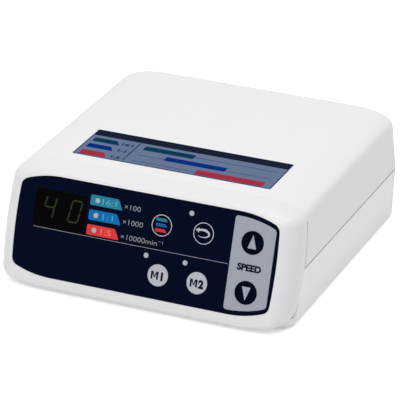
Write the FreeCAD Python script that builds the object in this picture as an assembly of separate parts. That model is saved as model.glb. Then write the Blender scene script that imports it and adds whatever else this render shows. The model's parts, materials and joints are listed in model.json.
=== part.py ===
import FreeCAD, Part
import math
import os

# Tabletop control unit of an electric dental micromotor, in millimetres.
# Drawing frame: X to the right, Y to the rear, Z up. The plane of the front
# passes through y = 0, z = 0, and z = 0 is the underside of the lower cover.
# Everything is moved into the part frame (centre of the footprint, soles at
# z = 0) when it is written.

V = FreeCAD.Vector

# Driving sizes of the casing
case_half_width = 74.0          # at the parting line, where the casing is widest
case_back = 154.2               # rear wall at the parting line
case_height = 53.75             # flat part of the top over the underside
parting_height = 24.45          # parting line of upper and lower cover
front_tilt = 19.1               # lean of the front from the vertical, degrees
upper_side_draft = 0.07         # lean of the upper side walls, mm per mm
upper_back_draft = 0.09
lower_draft = 0.033
rear_corner = 8.5               # plan radius of the rear corners
plan_lead = 48.0                # the covers are drawn this far forward before the seam cuts them
top_round = 4.6                 # rounding of the top along the sides and the rear
underside_round = 0.5
cover_wall = 2.5
crown_side = 23.0               # width of the falling sides of the top
crown_radius = 49.0             # the top falls away to the sides on this radius
keel_radius = 72.0              # the bezel's underside rises to the sides on this one
lip_depth = 2.0                 # overlap of the covers at the parting line
lip_wall = 1.2
lip_gap = 0.1

# Front bezel
seam_middle = 24.8              # where the seam crosses the parting line, along Y
seam_lean_low = 0.40            # lean of the seam below and above the parting line
seam_lean_high = 0.22
bezel_reach = 26.0              # how far back the bezel's form is drawn before the seam cuts it
bezel_proud = 0.25              # how far its sides stand outside the covers
bezel_wall = 2.6
bezel_inset = 3.0               # cavity inside the outer outline
bezel_tongue = 3.0              # reach of the rear tongue into the covers
tongue_outer = 0.9              # tongue inside the cavity's outline, outer and inner face
tongue_inner = 2.3
tongue_root = 4.0               # the tongue's root in front of the seam
seam_gap = 0.05
side_roll = 7.9                 # width of the rounded side edges seen from the front
side_roll_depth = 13.5          # how far back they reach, along Y
edge_roll = 2.3                 # height of the rounded top and bottom edges
edge_roll_depth = 5.0
roll_steps = (0.0, 0.01, 0.04, 0.1, 0.2, 0.34, 0.54, 0.76, 1.0)
step_depth = 9.0                # the side walls are thicker in front of this depth
step_inset = 6.0
bezel_corner = 5.5
side_bow = 231.0                # radius of the slightly bowed sides
front_flat_step = 5.0           # the front face's straight edges are this much shorter than the top's
floor_reach = 10.5              # the lower cover's floor reaches under the bezel to here
floor_corner = 9.0

# Key panel on the front
panel_side = 8.2                # its ends from the casing's sides
panel_low = 5.95                # height of its lower edge over the underside
panel_top_margin = 2.4          # its upper edge below the top
panel_flat_step = 6.0
panel_corner = 4.2
panel_recess = 0.8
membrane_thickness = 0.5
membrane_gap = 0.1

# Keys and lamps: columns across, rows as heights over the underside
m1_column = 9.0
m2_column = 28.6
ratio_column = 7.7
speed_key_side = 13.0           # the speed keys from the panel's right end
low_row_step = 10.75            # lower row of keys over the panel's lower edge
high_row_step = 12.75           # upper row below the panel's upper edge
round_key_radius = 5.1
speed_key_radius = 5.4
key_clearance = 0.08
key_proud = 0.12
key_flange = 0.9
key_flange_thickness = 1.0
key_seat_gap = 0.03
key_travel = 0.4
stem_radius = 1.5
stem_entry = 0.6                # how far a stem stands in its switch at rest
lamp_shift_x = -7.1             # a key's lamp from the key
lamp_shift_z = 7.7
ratio_lamp_step = 5.15          # the lamps beside the display, from the window's right edge
ratio_lamp_top = 7.35           # the uppermost one below the panel's upper edge
ratio_lamp_pitch = 6.6
ratio_lamp_count = 3
lamp_radius = 1.2
lamp_clearance = 0.05

# Display
window_side = 8.6               # window from the panel's left end
window_width = 26.4
window_top = 6.45               # window below the panel's upper edge
window_height = 17.0
window_gap = 0.1
window_thickness = 2.0
module_depth = 6.0
module_margin = 1.0
digit_count = 2
groove_half = 0.2               # groove between the digits

# Key board behind the front
key_board_depth = 9.5           # its front face behind the front plane
board_thickness = 1.6
key_board_side = 8.0            # its ends from the casing's sides
key_board_low = 13.0            # its lower edge, up the slope
key_board_top = 6.03            # its upper edge below the top
key_board_screw_side = 3.5      # its screws from its ends, its lower and its upper edge
key_board_screw_low_step = 5.0
key_board_screw_high_step = 4.5
key_board_corner = 5.0
boss_radius = 3.0
pilot_radius = 1.1
board_hole_radius = 1.6
board_screw_radius = 1.0
board_screw_head = 2.0
board_screw_head_height = 1.6
board_screw_bite = 4.5
switch_side = 6.0
switch_height = 3.8
switch_bore_gap = 0.08
switch_bore_spare = 1.6         # room left under a pressed stem
lamp_chip_side = 2.4
lamp_chip_height = 1.6
lamp_air = 0.2

# Main board
main_board_side = 19.0          # its ends from the casing's sides
main_board_front = 36.0
main_board_rear_step = 20.2     # its rear edge from the rear wall
main_board_height = 8.0         # underside over the casing's underside
main_screw_inset = 5.0
main_board_chamfer = 2.0

# Case screws, feet and label
case_screw_side = 13.0          # screws from the casing's sides
case_screw_front = 42.0
case_screw_rear_step = 14.2     # rear pair from the rear wall
case_screw_radius = 1.4
case_screw_head = 2.5
case_screw_head_height = 2.0
case_screw_length = 24.0
case_screw_pocket = 5.0
post_radius = 4.5
post_web_half = 0.8
foot_radius = 6.2
foot_drop = 1.2
foot_recess = 0.8
foot_gap = 0.1
foot_pad_rim = 1.5
foot_edge = 0.4
foot_side = 9.0                 # feet from the casing's sides
foot_front = 17.5
foot_rear_step = 16.2           # rear pair from the rear wall
label_side = 0.6                # the label's ends from the edge of the flat top
label_front = 40.0
label_rear = 70.0
label_thickness = 0.2
label_sink = 0.08
label_corner = 0.8

# Rear panel and what it carries
rear_panel_step = 5.0           # front face of the rear panel from the rear wall
rear_panel_thickness = 2.0
rear_panel_side = 18.0          # its ends from the casing's sides
rear_panel_low = 8.5
rear_panel_high = 42.0
rear_panel_corner = 1.5
rear_window_side = 5.0          # the covers' rear window inside the panel's ends
rear_window_low = 11.0
rear_window_high = 39.0
slot_gap = 0.1
rear_rib = 2.0
rear_axis_height = 25.0
fitting_side = 14.0             # outermost fittings from the ends of the rear window
rear_frame_rim = 3.0
rib_inset = 3.0                 # upright ribs from the rear panel's ends
rib_half = 1.5
lower_rib_top = 17.0
floor_bury = 0.5                # posts and ribs start this high inside the floor

# Motor socket
socket_bore = 6.6
socket_bore_depth = 9.0
insert_radius = 5.8
socket_barrel = 8.5
socket_flange = 11.0
socket_flange_thickness = 1.8
socket_reach = 3.4              # barrel outside the rear panel
socket_body_depth = 14.0        # barrel inside the rear panel
keyway_half = 0.9
keyway_depth = 0.7
contact_count = 5
contact_circle = 3.6
contact_radius = 0.8
contact_tail = 4.0
contact_gap = 0.02
fit_gap = 0.05

# Power inlet
inlet_bore = 2.9
inlet_bore_depth = 9.5
inlet_pin = 1.05
inlet_barrel = 5.0
inlet_flange = 7.0
inlet_depth = 15.0
inlet_reach = 1.6
inlet_pin_tail = 3.0
inlet_pin_sink = 1.0            # the pin stands back from the barrel's rim
inlet_pin_bevel = 0.3

# Drive air inlet
air_spigot = 2.0
air_hole = 1.0
air_spigot_length = 8.0
air_thread = 4.0
air_hex = 6.2
air_hex_thickness = 3.0
air_tail = 8.0
edge_bevel = 0.5                # bevels of the turned fittings
hose_radius = 2.2
hose_wall = 0.65
tail_gap = 0.05                 # hose wall over the tails it is pushed on
hose_end_gap = 0.5
tail_start = 0.6                # the tail starts this far behind the nut
port_length = 7.0
nut_thickness = 2.6
nut_rim = 3.2
motor_nut_rim = 2.2
air_nut_rim = 2.8

# Rocker switch
rocker_radius = 9.0
rocker_half_width = 4.9
rocker_gap = 0.15
rocker_rest = 10.0              # lean of the rocker when it is on, degrees
rocker_inset = 3.0              # pivot inside the rear panel's outer face
pivot_radius = 1.4
pivot_length = 1.2
switch_half_width = 7.2
switch_half_height = 11.0
switch_flange_thickness = 1.6
switch_flange_rim = 1.4
switch_body_depth = 12.0
switch_bury = 0.5               # the housing's body reaches this far into its flange
switch_flange_round = 0.8
rocker_valley = 1.9             # hollow of the rocker's face over the pivot
rocker_rise = 3.4
rocker_back = 3.2               # the rocker ends this far in front of its pivot
rocker_lip = 0.8                # flat lips at the rocker's two ends
terminal_half_width = 2.4
terminal_half = 0.4
terminal_reach = 7.0
terminal_step = 5.0             # terminals above and below the switch's axis

# Power stage on the main board
sink_side = 9.0                 # heat sink's inner face from the main board's left edge
sink_base = 3.0
sink_front = 54.0
sink_rear_step = 8.0            # its rear end from the main board's
sink_rise = 30.0
fin_count = 9
fin_reach = 8.0
fin_thickness = 1.6
transistor_count = 6
transistor_width = 10.0
transistor_body = 4.4
transistor_case_height = 9.2
transistor_tab = 1.3
transistor_lift = 6.0
transistor_height = 15.0
transistor_screw_step = 3.2     # screws over the transistors' bodies
transistor_hole = 1.8
leg_inner = 2.2                 # legs from the heat sink
leg_thickness = 0.7
leg_half = 0.4
leg_pitch = 2.54
sink_screw_head = 2.3
sink_screw_head_height = 1.8
sink_screw_radius = 1.45
sink_screw_bite = 2.6
capacitor_count = 3
capacitor_radius = 6.3
capacitor_height = 24.0
capacitor_side = 35.0           # capacitors from the main board's left edge
capacitor_front = 64.0
capacitor_pitch = 15.0
can_bevel = 0.8
vent_inset = 2.0
vent_half = 0.2

# Pieces on the main board, the ribbon and what reinforces the roof
choke_x = 6.0                   # from the middle of the board
choke_y = 72.0
choke_half = 9.0
choke_height = 9.0
choke_foot = 2.5
choke_bevel = 0.6
chip_side = 21.0                # processor from the main board's right edge
chip_y = 66.0
chip_half = 7.0
chip_height = 1.6
chip_leg_count = 6
chip_leg_inset = 1.4
chip_leg_reach = 1.2
chip_leg_half = 0.3
chip_leg_height = 0.4
driver_lead = 12.0              # first driver to the left of the processor
driver_pitch = 8.0
driver_count = 4
driver_y = 84.0
driver_half_width = 2.5
driver_half_depth = 2.0
driver_height = 1.5
buzzer_side = 17.0              # buzzer from the main board's right edge
buzzer_y = 46.0
buzzer_radius = 6.0
buzzer_height = 7.5
buzzer_hole = 1.0
buzzer_hole_depth = 2.0
sensor_rear_step = 22.0         # pressure sensor from the main board's rear edge
sensor_half = 6.5
sensor_height = 19.4
ribbon_half_width = 11.0
ribbon_thickness = 0.8
ribbon_bend = 4.0
plug_depth = 5.0
plug_half = 2.5
plug_rim = 1.5
ribbon_slope_length = 34.0
ribbon_header_y = 41.0
roof_rib_pitch = 30.0
roof_rib_half = 0.7
roof_rib_drop = 6.0
beyond = 200.0                  # reaches past everything

# Places that follow from the driving sizes
crown_flat = case_half_width - crown_side
front_flat = crown_flat - front_flat_step
panel_half_width = case_half_width - panel_side
panel_high = case_height - panel_top_margin
panel_flat = crown_flat - panel_flat_step
low_row = panel_low + low_row_step
high_row = panel_high - high_row_step
speed_column = panel_half_width - speed_key_side
window_left = window_side - panel_half_width
window_right = window_left + window_width
window_high = panel_high - window_top
window_low = window_high - window_height
ratio_lamp_column = window_right + ratio_lamp_step
label_half_width = crown_flat - label_side
case_screw_x = case_half_width - case_screw_side
case_screw_rear = case_back - case_screw_rear_step
foot_x = case_half_width - foot_side
foot_rear = case_back - foot_rear_step
key_board_half_width = case_half_width - key_board_side
key_board_screw_x = key_board_half_width - key_board_screw_side
main_board_half_width = case_half_width - main_board_side
main_board_rear = case_back - main_board_rear_step
main_screw_x = main_board_half_width - main_screw_inset
sink_rear = main_board_rear - sink_rear_step
tail_radius = hose_radius - hose_wall - tail_gap
sink_x = sink_side - main_board_half_width
capacitor_x = capacitor_side - main_board_half_width
chip_x = main_board_half_width - chip_side
buzzer_x = main_board_half_width - buzzer_side
rear_panel_inner = case_back - rear_panel_step
rear_panel_half_width = case_half_width - rear_panel_side
rear_window_half_width = rear_panel_half_width - rear_window_side
air_x = rear_window_half_width - fitting_side
sensor_y = main_board_rear - sensor_rear_step
switch_x = -air_x
motor_x = air_x / 3
power_x = -motor_x

tilt = math.radians(front_tilt)
lean = math.tan(tilt)
slope = 1.0 / math.cos(tilt)    # length up the front per unit of height
key_board_high = (case_height - key_board_top) * slope
key_board_screw_low = key_board_low + key_board_screw_low_step
key_board_screw_high = key_board_high - key_board_screw_high_step
bezel_half_width = case_half_width + bezel_proud
main_board_top = main_board_height + board_thickness
rear_face = rear_panel_inner + rear_panel_thickness
rear_tip = rear_face + air_hex_thickness + air_spigot_length
front_frame = FreeCAD.Placement(V(0, 0, 0), FreeCAD.Rotation(V(1, 0, 0), 90 - front_tilt))
pieces = {}


def keep(name, *shapes):
    """Puts the finished solids of one sub-part on the list."""
    solids = [solid for shape in shapes for solid in shape.Solids]
    pieces[name] = solids[0] if len(solids) == 1 else Part.makeCompound(solids)


def box(x0, x1, y0, y1, z0, z1):
    return Part.makeBox(x1 - x0, y1 - y0, z1 - z0, V(x0, y0, z0))


def rod(x, y, z, radius, length, axis):
    return Part.makeCylinder(radius, length, V(x, y, z), axis)


def joined(shapes):
    """Fuses solids into one and drops the edges left between them."""
    first = shapes[0]
    return first.fuse(shapes[1:]).removeSplitter() if len(shapes) > 1 else first


def on_front(shape):
    """Moves a shape from the front's own plane (x, up the slope, outwards) into the drawing frame."""
    placed = shape.copy()
    placed.Placement = front_frame.multiply(placed.Placement)
    return placed


def front_disc(x, height, radius, outer, inner):
    """A round pin square to the front, between two depths behind the front plane."""
    return on_front(rod(x, height * slope, -inner, radius, inner - outer, V(0, 0, 1)))


def front_box(x0, x1, s0, s1, outer, inner):
    """A block square to the front, from slope length s0 to s1, between two depths."""
    return on_front(box(x0, x1, s0, s1, -inner, -outer))


# Outline shared by the bezel, the key panel and the top of the covers

def corner_marks(half_width, half, flat, radius, corner, bow):
    """Points of one quarter of an outline: along the crown, round the corner, on to the side."""
    crown = V(flat, half - radius, 0)
    side = V(half_width - bow, 0, 0)
    # The corner's centre keeps radius - corner from the crown's centre and bow - corner from the side's
    reach, across = radius - corner, bow - corner
    apart = crown.sub(side)
    span = apart.Length
    along = (across ** 2 - reach ** 2 + span ** 2) / (2 * span)
    aside = math.sqrt(across ** 2 - along ** 2)
    way = V(apart).normalize()
    centre = side.add(V(way).multiply(along)).add(V(-way.y, way.x, 0).multiply(aside))

    def away(base, size, turn):
        return base.add(V(size * math.cos(turn), size * math.sin(turn), 0))

    crown_turn = math.atan2(centre.y - crown.y, centre.x - crown.x)
    side_turn = math.atan2(centre.y - side.y, centre.x - side.x)
    return [V(flat, half, 0), away(crown, radius, (crown_turn + math.pi / 2) / 2), away(crown, radius, crown_turn),
            away(centre, corner, (crown_turn + side_turn) / 2), away(side, bow, side_turn)]


def barrel_outline(half_width, low, high, flat, radius, corner, bow, low_radius=None):
    """Closed outline with straight middles, crowned ends and bowed sides, low to high up the slope."""
    middle = (low + high) / 2
    upper = corner_marks(half_width, (high - low) / 2, flat, radius, corner, bow)
    lower = corner_marks(half_width, (high - low) / 2, flat, low_radius or radius, corner, bow)

    def quarter(marks, x_sign, y_sign):
        spots = [V(mark.x * x_sign, middle + mark.y * y_sign, 0) for mark in marks]
        return spots, [Part.Arc(*spots[0:3]).toShape(), Part.Arc(*spots[2:5]).toShape()]

    right_top, right_bottom = quarter(upper, 1, 1), quarter(lower, 1, -1)
    left_top, left_bottom = quarter(upper, -1, 1), quarter(lower, -1, -1)
    edges = [Part.LineSegment(left_top[0][0], right_top[0][0]).toShape()] + right_top[1]
    edges.append(Part.Arc(right_top[0][4], V(half_width, middle, 0), right_bottom[0][4]).toShape())
    edges += right_bottom[1][::-1]
    edges.append(Part.LineSegment(right_bottom[0][0], left_bottom[0][0]).toShape())
    edges += left_bottom[1]
    edges.append(Part.Arc(left_bottom[0][4], V(-half_width, middle, 0), left_top[0][4]).toShape())
    edges += left_top[1][::-1]
    return Part.Wire(Part.__sortEdges__(edges))


def left_of(roll, depth, reach):
    """What is left to come of an elliptical rounding at a depth."""
    run = max(0.0, 1 - depth / reach)
    return roll * (1 - math.sqrt(1 - run * run))


def bezel_outline(depth, across, extra):
    """Outline of the bezel at a depth behind its front, drawn in by extra, and across at the sides."""
    edge = left_of(edge_roll, depth, edge_roll_depth) + extra
    half_width = bezel_half_width - left_of(side_roll, depth, side_roll_depth) - across
    flat = crown_flat - (crown_flat - front_flat) * left_of(1, depth, side_roll_depth)
    corner = bezel_corner - 0.5 * extra
    low, high = edge * slope, (case_height - edge) * slope
    return barrel_outline(half_width, low, high, flat, crown_radius - extra, corner, side_bow,
                          keel_radius - extra)


def full_outline(extra):
    return bezel_outline(side_roll_depth, extra, extra)


def from_front(wire, depth):
    """Puts an outline on the plane that lies depth behind the front, along Y."""
    placed = on_front(wire)
    placed.translate(V(0, depth, 0))
    return placed


def front_prism(wire, start, end):
    return Part.Face(from_front(wire, start)).extrude(V(0, end - start, 0))


def panel_outline(gap):
    low, high = (panel_low + gap) * slope, (panel_high - gap) * slope
    half_width = panel_half_width - gap
    return barrel_outline(half_width, low, high, panel_flat, crown_radius, panel_corner - gap, side_bow)


# Forms of the covers

def plan_outline(half_width, back, corner, height):
    """Plan of a cover: open straight to the front, rounded at the rear corners."""
    front = -plan_lead
    turn = corner * (1 - math.sqrt(0.5))
    right = [V(half_width, back - corner, height), V(half_width - turn, back - turn, height),
             V(half_width - corner, back, height)]
    left = [V(-p.x, p.y, p.z) for p in reversed(right)]
    start, end = V(-half_width, front, height), V(half_width, front, height)
    edges = [Part.LineSegment(start, end).toShape(), Part.LineSegment(end, right[0]).toShape(),
             Part.Arc(*right).toShape(), Part.LineSegment(right[2], left[0]).toShape(),
             Part.Arc(*left).toShape(), Part.LineSegment(left[2], start).toShape()]
    return Part.Wire(edges)


def drafted(inset, low, high, side_draft, back_draft):
    """Block between two heights with leaning plane walls and round rear corners."""
    rings = []
    for height in (low, high):
        off = abs(height - parting_height)
        half, back = case_half_width - inset - side_draft * off, case_back - inset - back_draft * off
        rings.append([V(-half, -plan_lead, height), V(half, -plan_lead, height), V(half, back, height),
                      V(-half, back, height)])
    lower, upper = rings
    walls = [[lower[k], lower[(k + 1) % 4], upper[(k + 1) % 4], upper[k]] for k in range(4)]
    faces = [Part.Face(Part.makePolygon(corners + [corners[0]])) for corners in [lower[::-1], upper] + walls]
    shell = Part.makeShell(faces)
    shell.sewShape()
    block = Part.makeSolid(shell)
    upright = [edge for edge in block.Edges if edge.BoundBox.ZLength > 5 and edge.BoundBox.YMin > 0]
    return block.makeFillet(rear_corner - inset, upright)


def rim_edges(solid, block, low, high):
    """Edges that run round the drafted walls between two heights, without the upright ones."""
    found = []
    walls = [face for face in block.Faces if face.BoundBox.ZLength > 5]
    for edge in solid.Edges:
        middle = edge.valueAt((edge.FirstParameter + edge.LastParameter) / 2)
        ends = [vertex.Point for vertex in edge.Vertexes]
        upright = len(ends) == 2 and abs(ends[0].z - ends[1].z) > 0.8 * edge.Length
        front_end = middle.y < 1 - plan_lead
        if upright or front_end or not low < middle.z < high:
            continue
        spot = Part.Vertex(middle)
        if min(face.distToShape(spot)[0] for face in walls) < 1e-4:
            found.append(edge)
    return found


def crown_prism(inset):
    """Everything under the crowned top, drawn in by the inset."""
    top, radius = case_height - inset, crown_radius * slope - inset
    far = case_half_width + 6
    fall = radius - math.sqrt(radius ** 2 - (far - crown_flat) ** 2)
    turn = (far - crown_flat) * 0.55
    part_fall = radius - math.sqrt(radius ** 2 - turn ** 2)
    right = [V(crown_flat, 0, top), V(crown_flat + turn, 0, top - part_fall), V(far, 0, top - fall)]
    left = [V(-p.x, 0, p.z) for p in reversed(right)]
    low = [V(far, 0, -20), V(-far, 0, -20)]
    edges = [Part.Arc(*left).toShape(), Part.LineSegment(left[2], right[0]).toShape(), Part.Arc(*right).toShape()]
    spots = [right[2]] + low + [left[0]]
    edges += [Part.LineSegment(a, b).toShape() for a, b in zip(spots, spots[1:])]
    face = Part.Face(Part.Wire(edges))
    face.translate(V(0, -2 * plan_lead, 0))
    return face.extrude(V(0, 3 * case_back, 0))


def upper_form(inset):
    block = drafted(inset, parting_height, case_height + 1, upper_side_draft, upper_back_draft)
    return block.common(crown_prism(inset))


def upper_outside():
    body = upper_form(0)
    block = drafted(0, parting_height, case_height + 1, upper_side_draft, upper_back_draft)
    return body.makeFillet(top_round, rim_edges(body, block, parting_height + 5, case_height + 1))


def lower_form(inset):
    return drafted(inset, inset, parting_height, lower_draft, lower_draft)


def lower_outside():
    block = lower_form(0)
    return block.makeChamfer(underside_round, rim_edges(block, block, -1, 1))


def behind_seam(extra):
    """Everything that lies behind the bezel's seam, which bends at the parting line."""
    reach = 2 * case_half_width
    low, high = parting_height + 20, 2 * case_height
    knee = seam_middle + extra
    corners = [V(-reach, knee - seam_lean_low * low, parting_height - low), V(-reach, knee, parting_height),
               V(-reach, knee + seam_lean_high * high, parting_height + high), V(-reach, 3 * reach, high),
               V(-reach, 3 * reach, -low)]
    return Part.Face(Part.makePolygon(corners + [corners[0]])).extrude(V(2 * reach, 0, 0))


def before_seam(extra):
    """Everything that lies in front of the seam."""
    reach = 2 * case_half_width
    return box(-reach, reach, -reach, 2 * reach, -reach, reach).cut(behind_seam(extra))


def ring(outer, inner, low, high):
    """Upright wall between two insets of the plan at the parting line."""
    parts = []
    for inset in (outer, inner):
        wire = plan_outline(case_half_width - inset, case_back - inset, rear_corner - inset, low)
        parts.append(Part.Face(wire).extrude(V(0, 0, high - low)))
    return parts[0].cut(parts[1])


def screw_places():
    return [(side * case_screw_x, y) for side in (-1, 1) for y in (case_screw_front, case_screw_rear)]


def rear_frame(low, high):
    """Frame that backs the rear panel, between two heights."""
    half = rear_panel_half_width + rear_frame_rim
    return box(-half, half, rear_face + slot_gap, beyond, low, high)


def rear_ribs(low, high, floor):
    """Ribs in front of the rear panel's two ends, up from a floor or down from a roof."""
    front = rear_panel_inner - slot_gap
    half = rear_panel_half_width
    ribs = [box(x - rib_half, x + rib_half, front - rear_rib * 2, front, low, high)
            for x in (rib_inset - half, half - rib_inset)]
    return ribs + [box(-half, half, front - rear_rib, front, floor[0], floor[1])]


def rear_window():
    half = rear_window_half_width
    return box(-half, half, rear_panel_inner, beyond, rear_window_low, rear_window_high)


def label_pocket():
    pocket = box(-label_half_width - 0.1, label_half_width + 0.1, label_front - 0.1, label_rear + 0.1,
                 case_height - label_sink, case_height + 5)
    uprights = [edge for edge in pocket.Edges if edge.BoundBox.ZLength > 1]
    return pocket.makeFillet(label_corner + 0.1, uprights)


def make_upper_cover():
    outer, inner = upper_outside(), upper_form(cover_wall)
    shell = outer.cut(inner)
    roof = outer.common(box(-beyond, beyond, -beyond, beyond, parting_height, beyond))
    extras = []
    for x, y in screw_places():
        extras.append(rod(x, y, parting_height, post_radius, case_height, V(0, 0, 1)))
        wall = math.copysign(case_half_width, x)
        extras.append(box(min(x, wall), max(x, wall), y - post_web_half, y + post_web_half,
                          parting_height + 2 * lip_depth, beyond))
    for x in (-roof_rib_pitch, 0, roof_rib_pitch):
        extras.append(box(x - roof_rib_half, x + roof_rib_half, label_front, rear_panel_inner - 2 * roof_rib_drop,
                          case_height - roof_rib_drop, beyond))
    extras.append(rear_frame(parting_height, rear_panel_high + 3))
    extras += rear_ribs(parting_height + 3 * lip_depth, beyond, (rear_panel_high + slot_gap, beyond))
    extras = [extra.common(roof) for extra in extras]
    low, high = parting_height - lip_depth, parting_height + lip_depth
    lip = ring(cover_wall + lip_gap, cover_wall + lip_gap + lip_wall, low, parting_height)
    root = ring(cover_wall - 0.5, cover_wall + lip_gap + lip_wall, parting_height, high)
    front_clear = behind_seam(bezel_tongue + 2)
    lip = lip.fuse(root).common(front_clear)
    lip_end = rear_panel_half_width + rear_frame_rim + lip_wall
    lip = lip.cut(box(-lip_end, lip_end, rear_panel_inner - 3 * rear_rib, beyond, 0, beyond))
    cover = joined([shell] + extras + [lip]).common(behind_seam(seam_gap))
    holes = [rear_window(), label_pocket()]
    half = rear_panel_half_width + slot_gap
    holes.append(box(-half, half, rear_panel_inner - slot_gap, rear_face + slot_gap, 0, rear_panel_high + slot_gap))
    for x, y in screw_places():
        depth = case_screw_pocket + case_screw_length + 1.5
        holes.append(rod(x, y, 0, case_screw_radius + fit_gap, depth, V(0, 0, 1)))
    return cover.cut(holes)


def floor_tongue(grow, top):
    """The lower cover's floor where it runs forward under the bezel."""
    half_width = case_half_width - lower_draft * parting_height - 1.2 + grow
    front = floor_reach - grow
    back = seam_middle
    plate = box(-half_width, half_width, front, back, -grow, top)
    corners = [edge for edge in plate.Edges if edge.BoundBox.ZLength > 1 and edge.BoundBox.YMin < front + 1]
    return plate.makeFillet(floor_corner, corners)


def make_lower_cover():
    outer, inner = lower_outside(), lower_form(cover_wall)
    shell = outer.cut(inner).common(behind_seam(seam_gap))
    tongue = floor_tongue(0, cover_wall)
    front_edge = floor_reach + floor_corner
    soft = [edge for edge in tongue.Edges if edge.BoundBox.ZMax < 0.01 and edge.BoundBox.YMin < front_edge]
    tongue = tongue.makeChamfer(underside_round, soft)
    extras = [tongue]
    for x, y in screw_places():
        extras.append(rod(x, y, floor_bury, post_radius, parting_height - floor_bury, V(0, 0, 1)))
    for x, y in main_board_screws():
        extras.append(rod(x, y, floor_bury, boss_radius, main_board_height - floor_bury, V(0, 0, 1)))
    for x, y in foot_places():
        extras.append(rod(x, y, 0, foot_radius + foot_pad_rim, cover_wall + foot_recess, V(0, 0, 1)))
    frame = rear_frame(floor_bury, parting_height).common(outer)
    ribs = rear_ribs(floor_bury, lower_rib_top, (floor_bury, rear_panel_low - slot_gap))
    extras += [frame] + ribs
    cover = joined([shell] + extras)
    holes = [rear_window()]
    half = rear_panel_half_width + slot_gap
    holes.append(box(-half, half, rear_panel_inner - slot_gap, rear_face + slot_gap, rear_panel_low - slot_gap,
                     beyond))
    for x, y in screw_places():
        holes.append(rod(x, y, -1, case_screw_head + 0.5, case_screw_pocket + 1, V(0, 0, 1)))
        holes.append(rod(x, y, -1, case_screw_radius + 0.2, parting_height + 2, V(0, 0, 1)))
    for x, y in main_board_screws():
        holes.append(rod(x, y, cover_wall, pilot_radius, main_board_height, V(0, 0, 1)))
    for x, y in foot_places():
        holes.append(rod(x, y, -foot_drop, foot_radius + foot_gap, foot_drop + foot_recess, V(0, 0, 1)))
    return cover.cut(holes)


def main_board_screws():
    return [(side * main_screw_x, y) for side in (-1, 1)
            for y in (main_board_front + main_screw_inset, main_board_rear - main_screw_inset)]


def foot_places():
    return [(side * foot_x, y) for side in (-1, 1) for y in (foot_front, foot_rear)]


# Front bezel and what sits in it

def keys():
    """Name, column, row and radius of each key."""
    return [("key_m1", m1_column, low_row, round_key_radius), ("key_m2", m2_column, low_row, round_key_radius),
            ("key_ratio", ratio_column, high_row, round_key_radius),
            ("key_reverse", m2_column, high_row, round_key_radius),
            ("key_up", speed_column, high_row, speed_key_radius),
            ("key_down", speed_column, low_row, speed_key_radius)]


def lamps():
    """Column and row of each lamp: one beside three of the keys, three beside the display."""
    spots = [(column + lamp_shift_x, row + lamp_shift_z)
             for column, row in ((m1_column, low_row), (m2_column, low_row), (m2_column, high_row))]
    top = panel_high - ratio_lamp_top
    return spots + [(ratio_lamp_column, top - ratio_lamp_pitch * number) for number in range(ratio_lamp_count)]


def bezel_block():
    """Rounded outer form of the bezel, from its front face back to the seam."""
    depths = [side_roll_depth * step for step in roll_steps]
    sections = [from_front(bezel_outline(depth, 0, 0), depth) for depth in depths]
    rounded = Part.makeLoft(sections, True, True)
    return rounded.fuse(front_prism(full_outline(0), side_roll_depth, bezel_reach))


def key_board_screw_places():
    return [(side * key_board_screw_x, s) for side in (-1, 1) for s in (key_board_screw_low, key_board_screw_high)]


def make_front_bezel():
    body = bezel_block()
    wall_back = bezel_wall * slope
    end = bezel_reach + step_depth
    cavity = [front_prism(bezel_outline(side_roll_depth, step_inset, bezel_inset), wall_back, end)]
    cavity.append(front_prism(full_outline(bezel_inset), step_depth, end))
    body = body.cut(cavity).common(before_seam(0))
    within = front_prism(full_outline(bezel_inset + tongue_inner), 0, end)
    tongue = front_prism(full_outline(bezel_inset + tongue_outer), tongue_root, end).cut(within)
    tongue = tongue.common(before_seam(bezel_tongue)).common(behind_seam(-tongue_root))
    root = front_prism(full_outline(bezel_inset - floor_bury), tongue_root, end).cut(within)
    root = root.common(before_seam(-tongue_root / 3)).common(behind_seam(-tongue_root - 1))
    bosses = [on_front(rod(x, s, -key_board_depth, boss_radius, key_board_depth - 1, V(0, 0, 1)))
              for x, s in key_board_screw_places()]
    body = joined([body, tongue, root] + bosses)
    holes = [on_front(Part.Face(panel_outline(0)).extrude(V(0, 0, 5)))]
    holes[0].translate(V(0, panel_recess * math.cos(tilt), -panel_recess * math.sin(tilt)))
    for name, x, row, radius in keys():
        holes.append(front_disc(x, row, radius + key_clearance, -1, bezel_wall + 1))
    for x, row in lamps():
        holes.append(front_disc(x, row, lamp_radius + lamp_clearance, -1, bezel_wall + 1))
    holes.append(front_box(window_left, window_right, window_low * slope, window_high * slope, -1, bezel_wall + 1))
    for x, s in key_board_screw_places():
        pilot = rod(x, s, -key_board_depth - 1, pilot_radius, key_board_depth - bezel_wall, V(0, 0, 1))
        holes.append(on_front(pilot))
    holes.append(floor_tongue(seam_gap, cover_wall + seam_gap))
    for x, y in foot_places():
        holes.append(rod(x, y, -foot_drop, foot_radius + foot_pad_rim + seam_gap,
                         foot_drop + cover_wall + foot_recess + seam_gap, V(0, 0, 1)))
    return body.cut(holes)


def make_membrane_sheet():
    outer = panel_recess - membrane_thickness
    sheet = on_front(Part.Face(panel_outline(membrane_gap)).extrude(V(0, 0, membrane_thickness)))
    sheet.translate(V(0, panel_recess * math.cos(tilt), -panel_recess * math.sin(tilt)))
    holes = [front_disc(x, row, radius + key_clearance, outer - 1, 2) for name, x, row, radius in keys()]
    holes += [front_disc(x, row, lamp_radius + lamp_clearance, outer - 1, 2) for x, row in lamps()]
    holes.append(front_box(window_left, window_right, window_low * slope, window_high * slope, -1, 2))
    return sheet.cut(holes)


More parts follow.
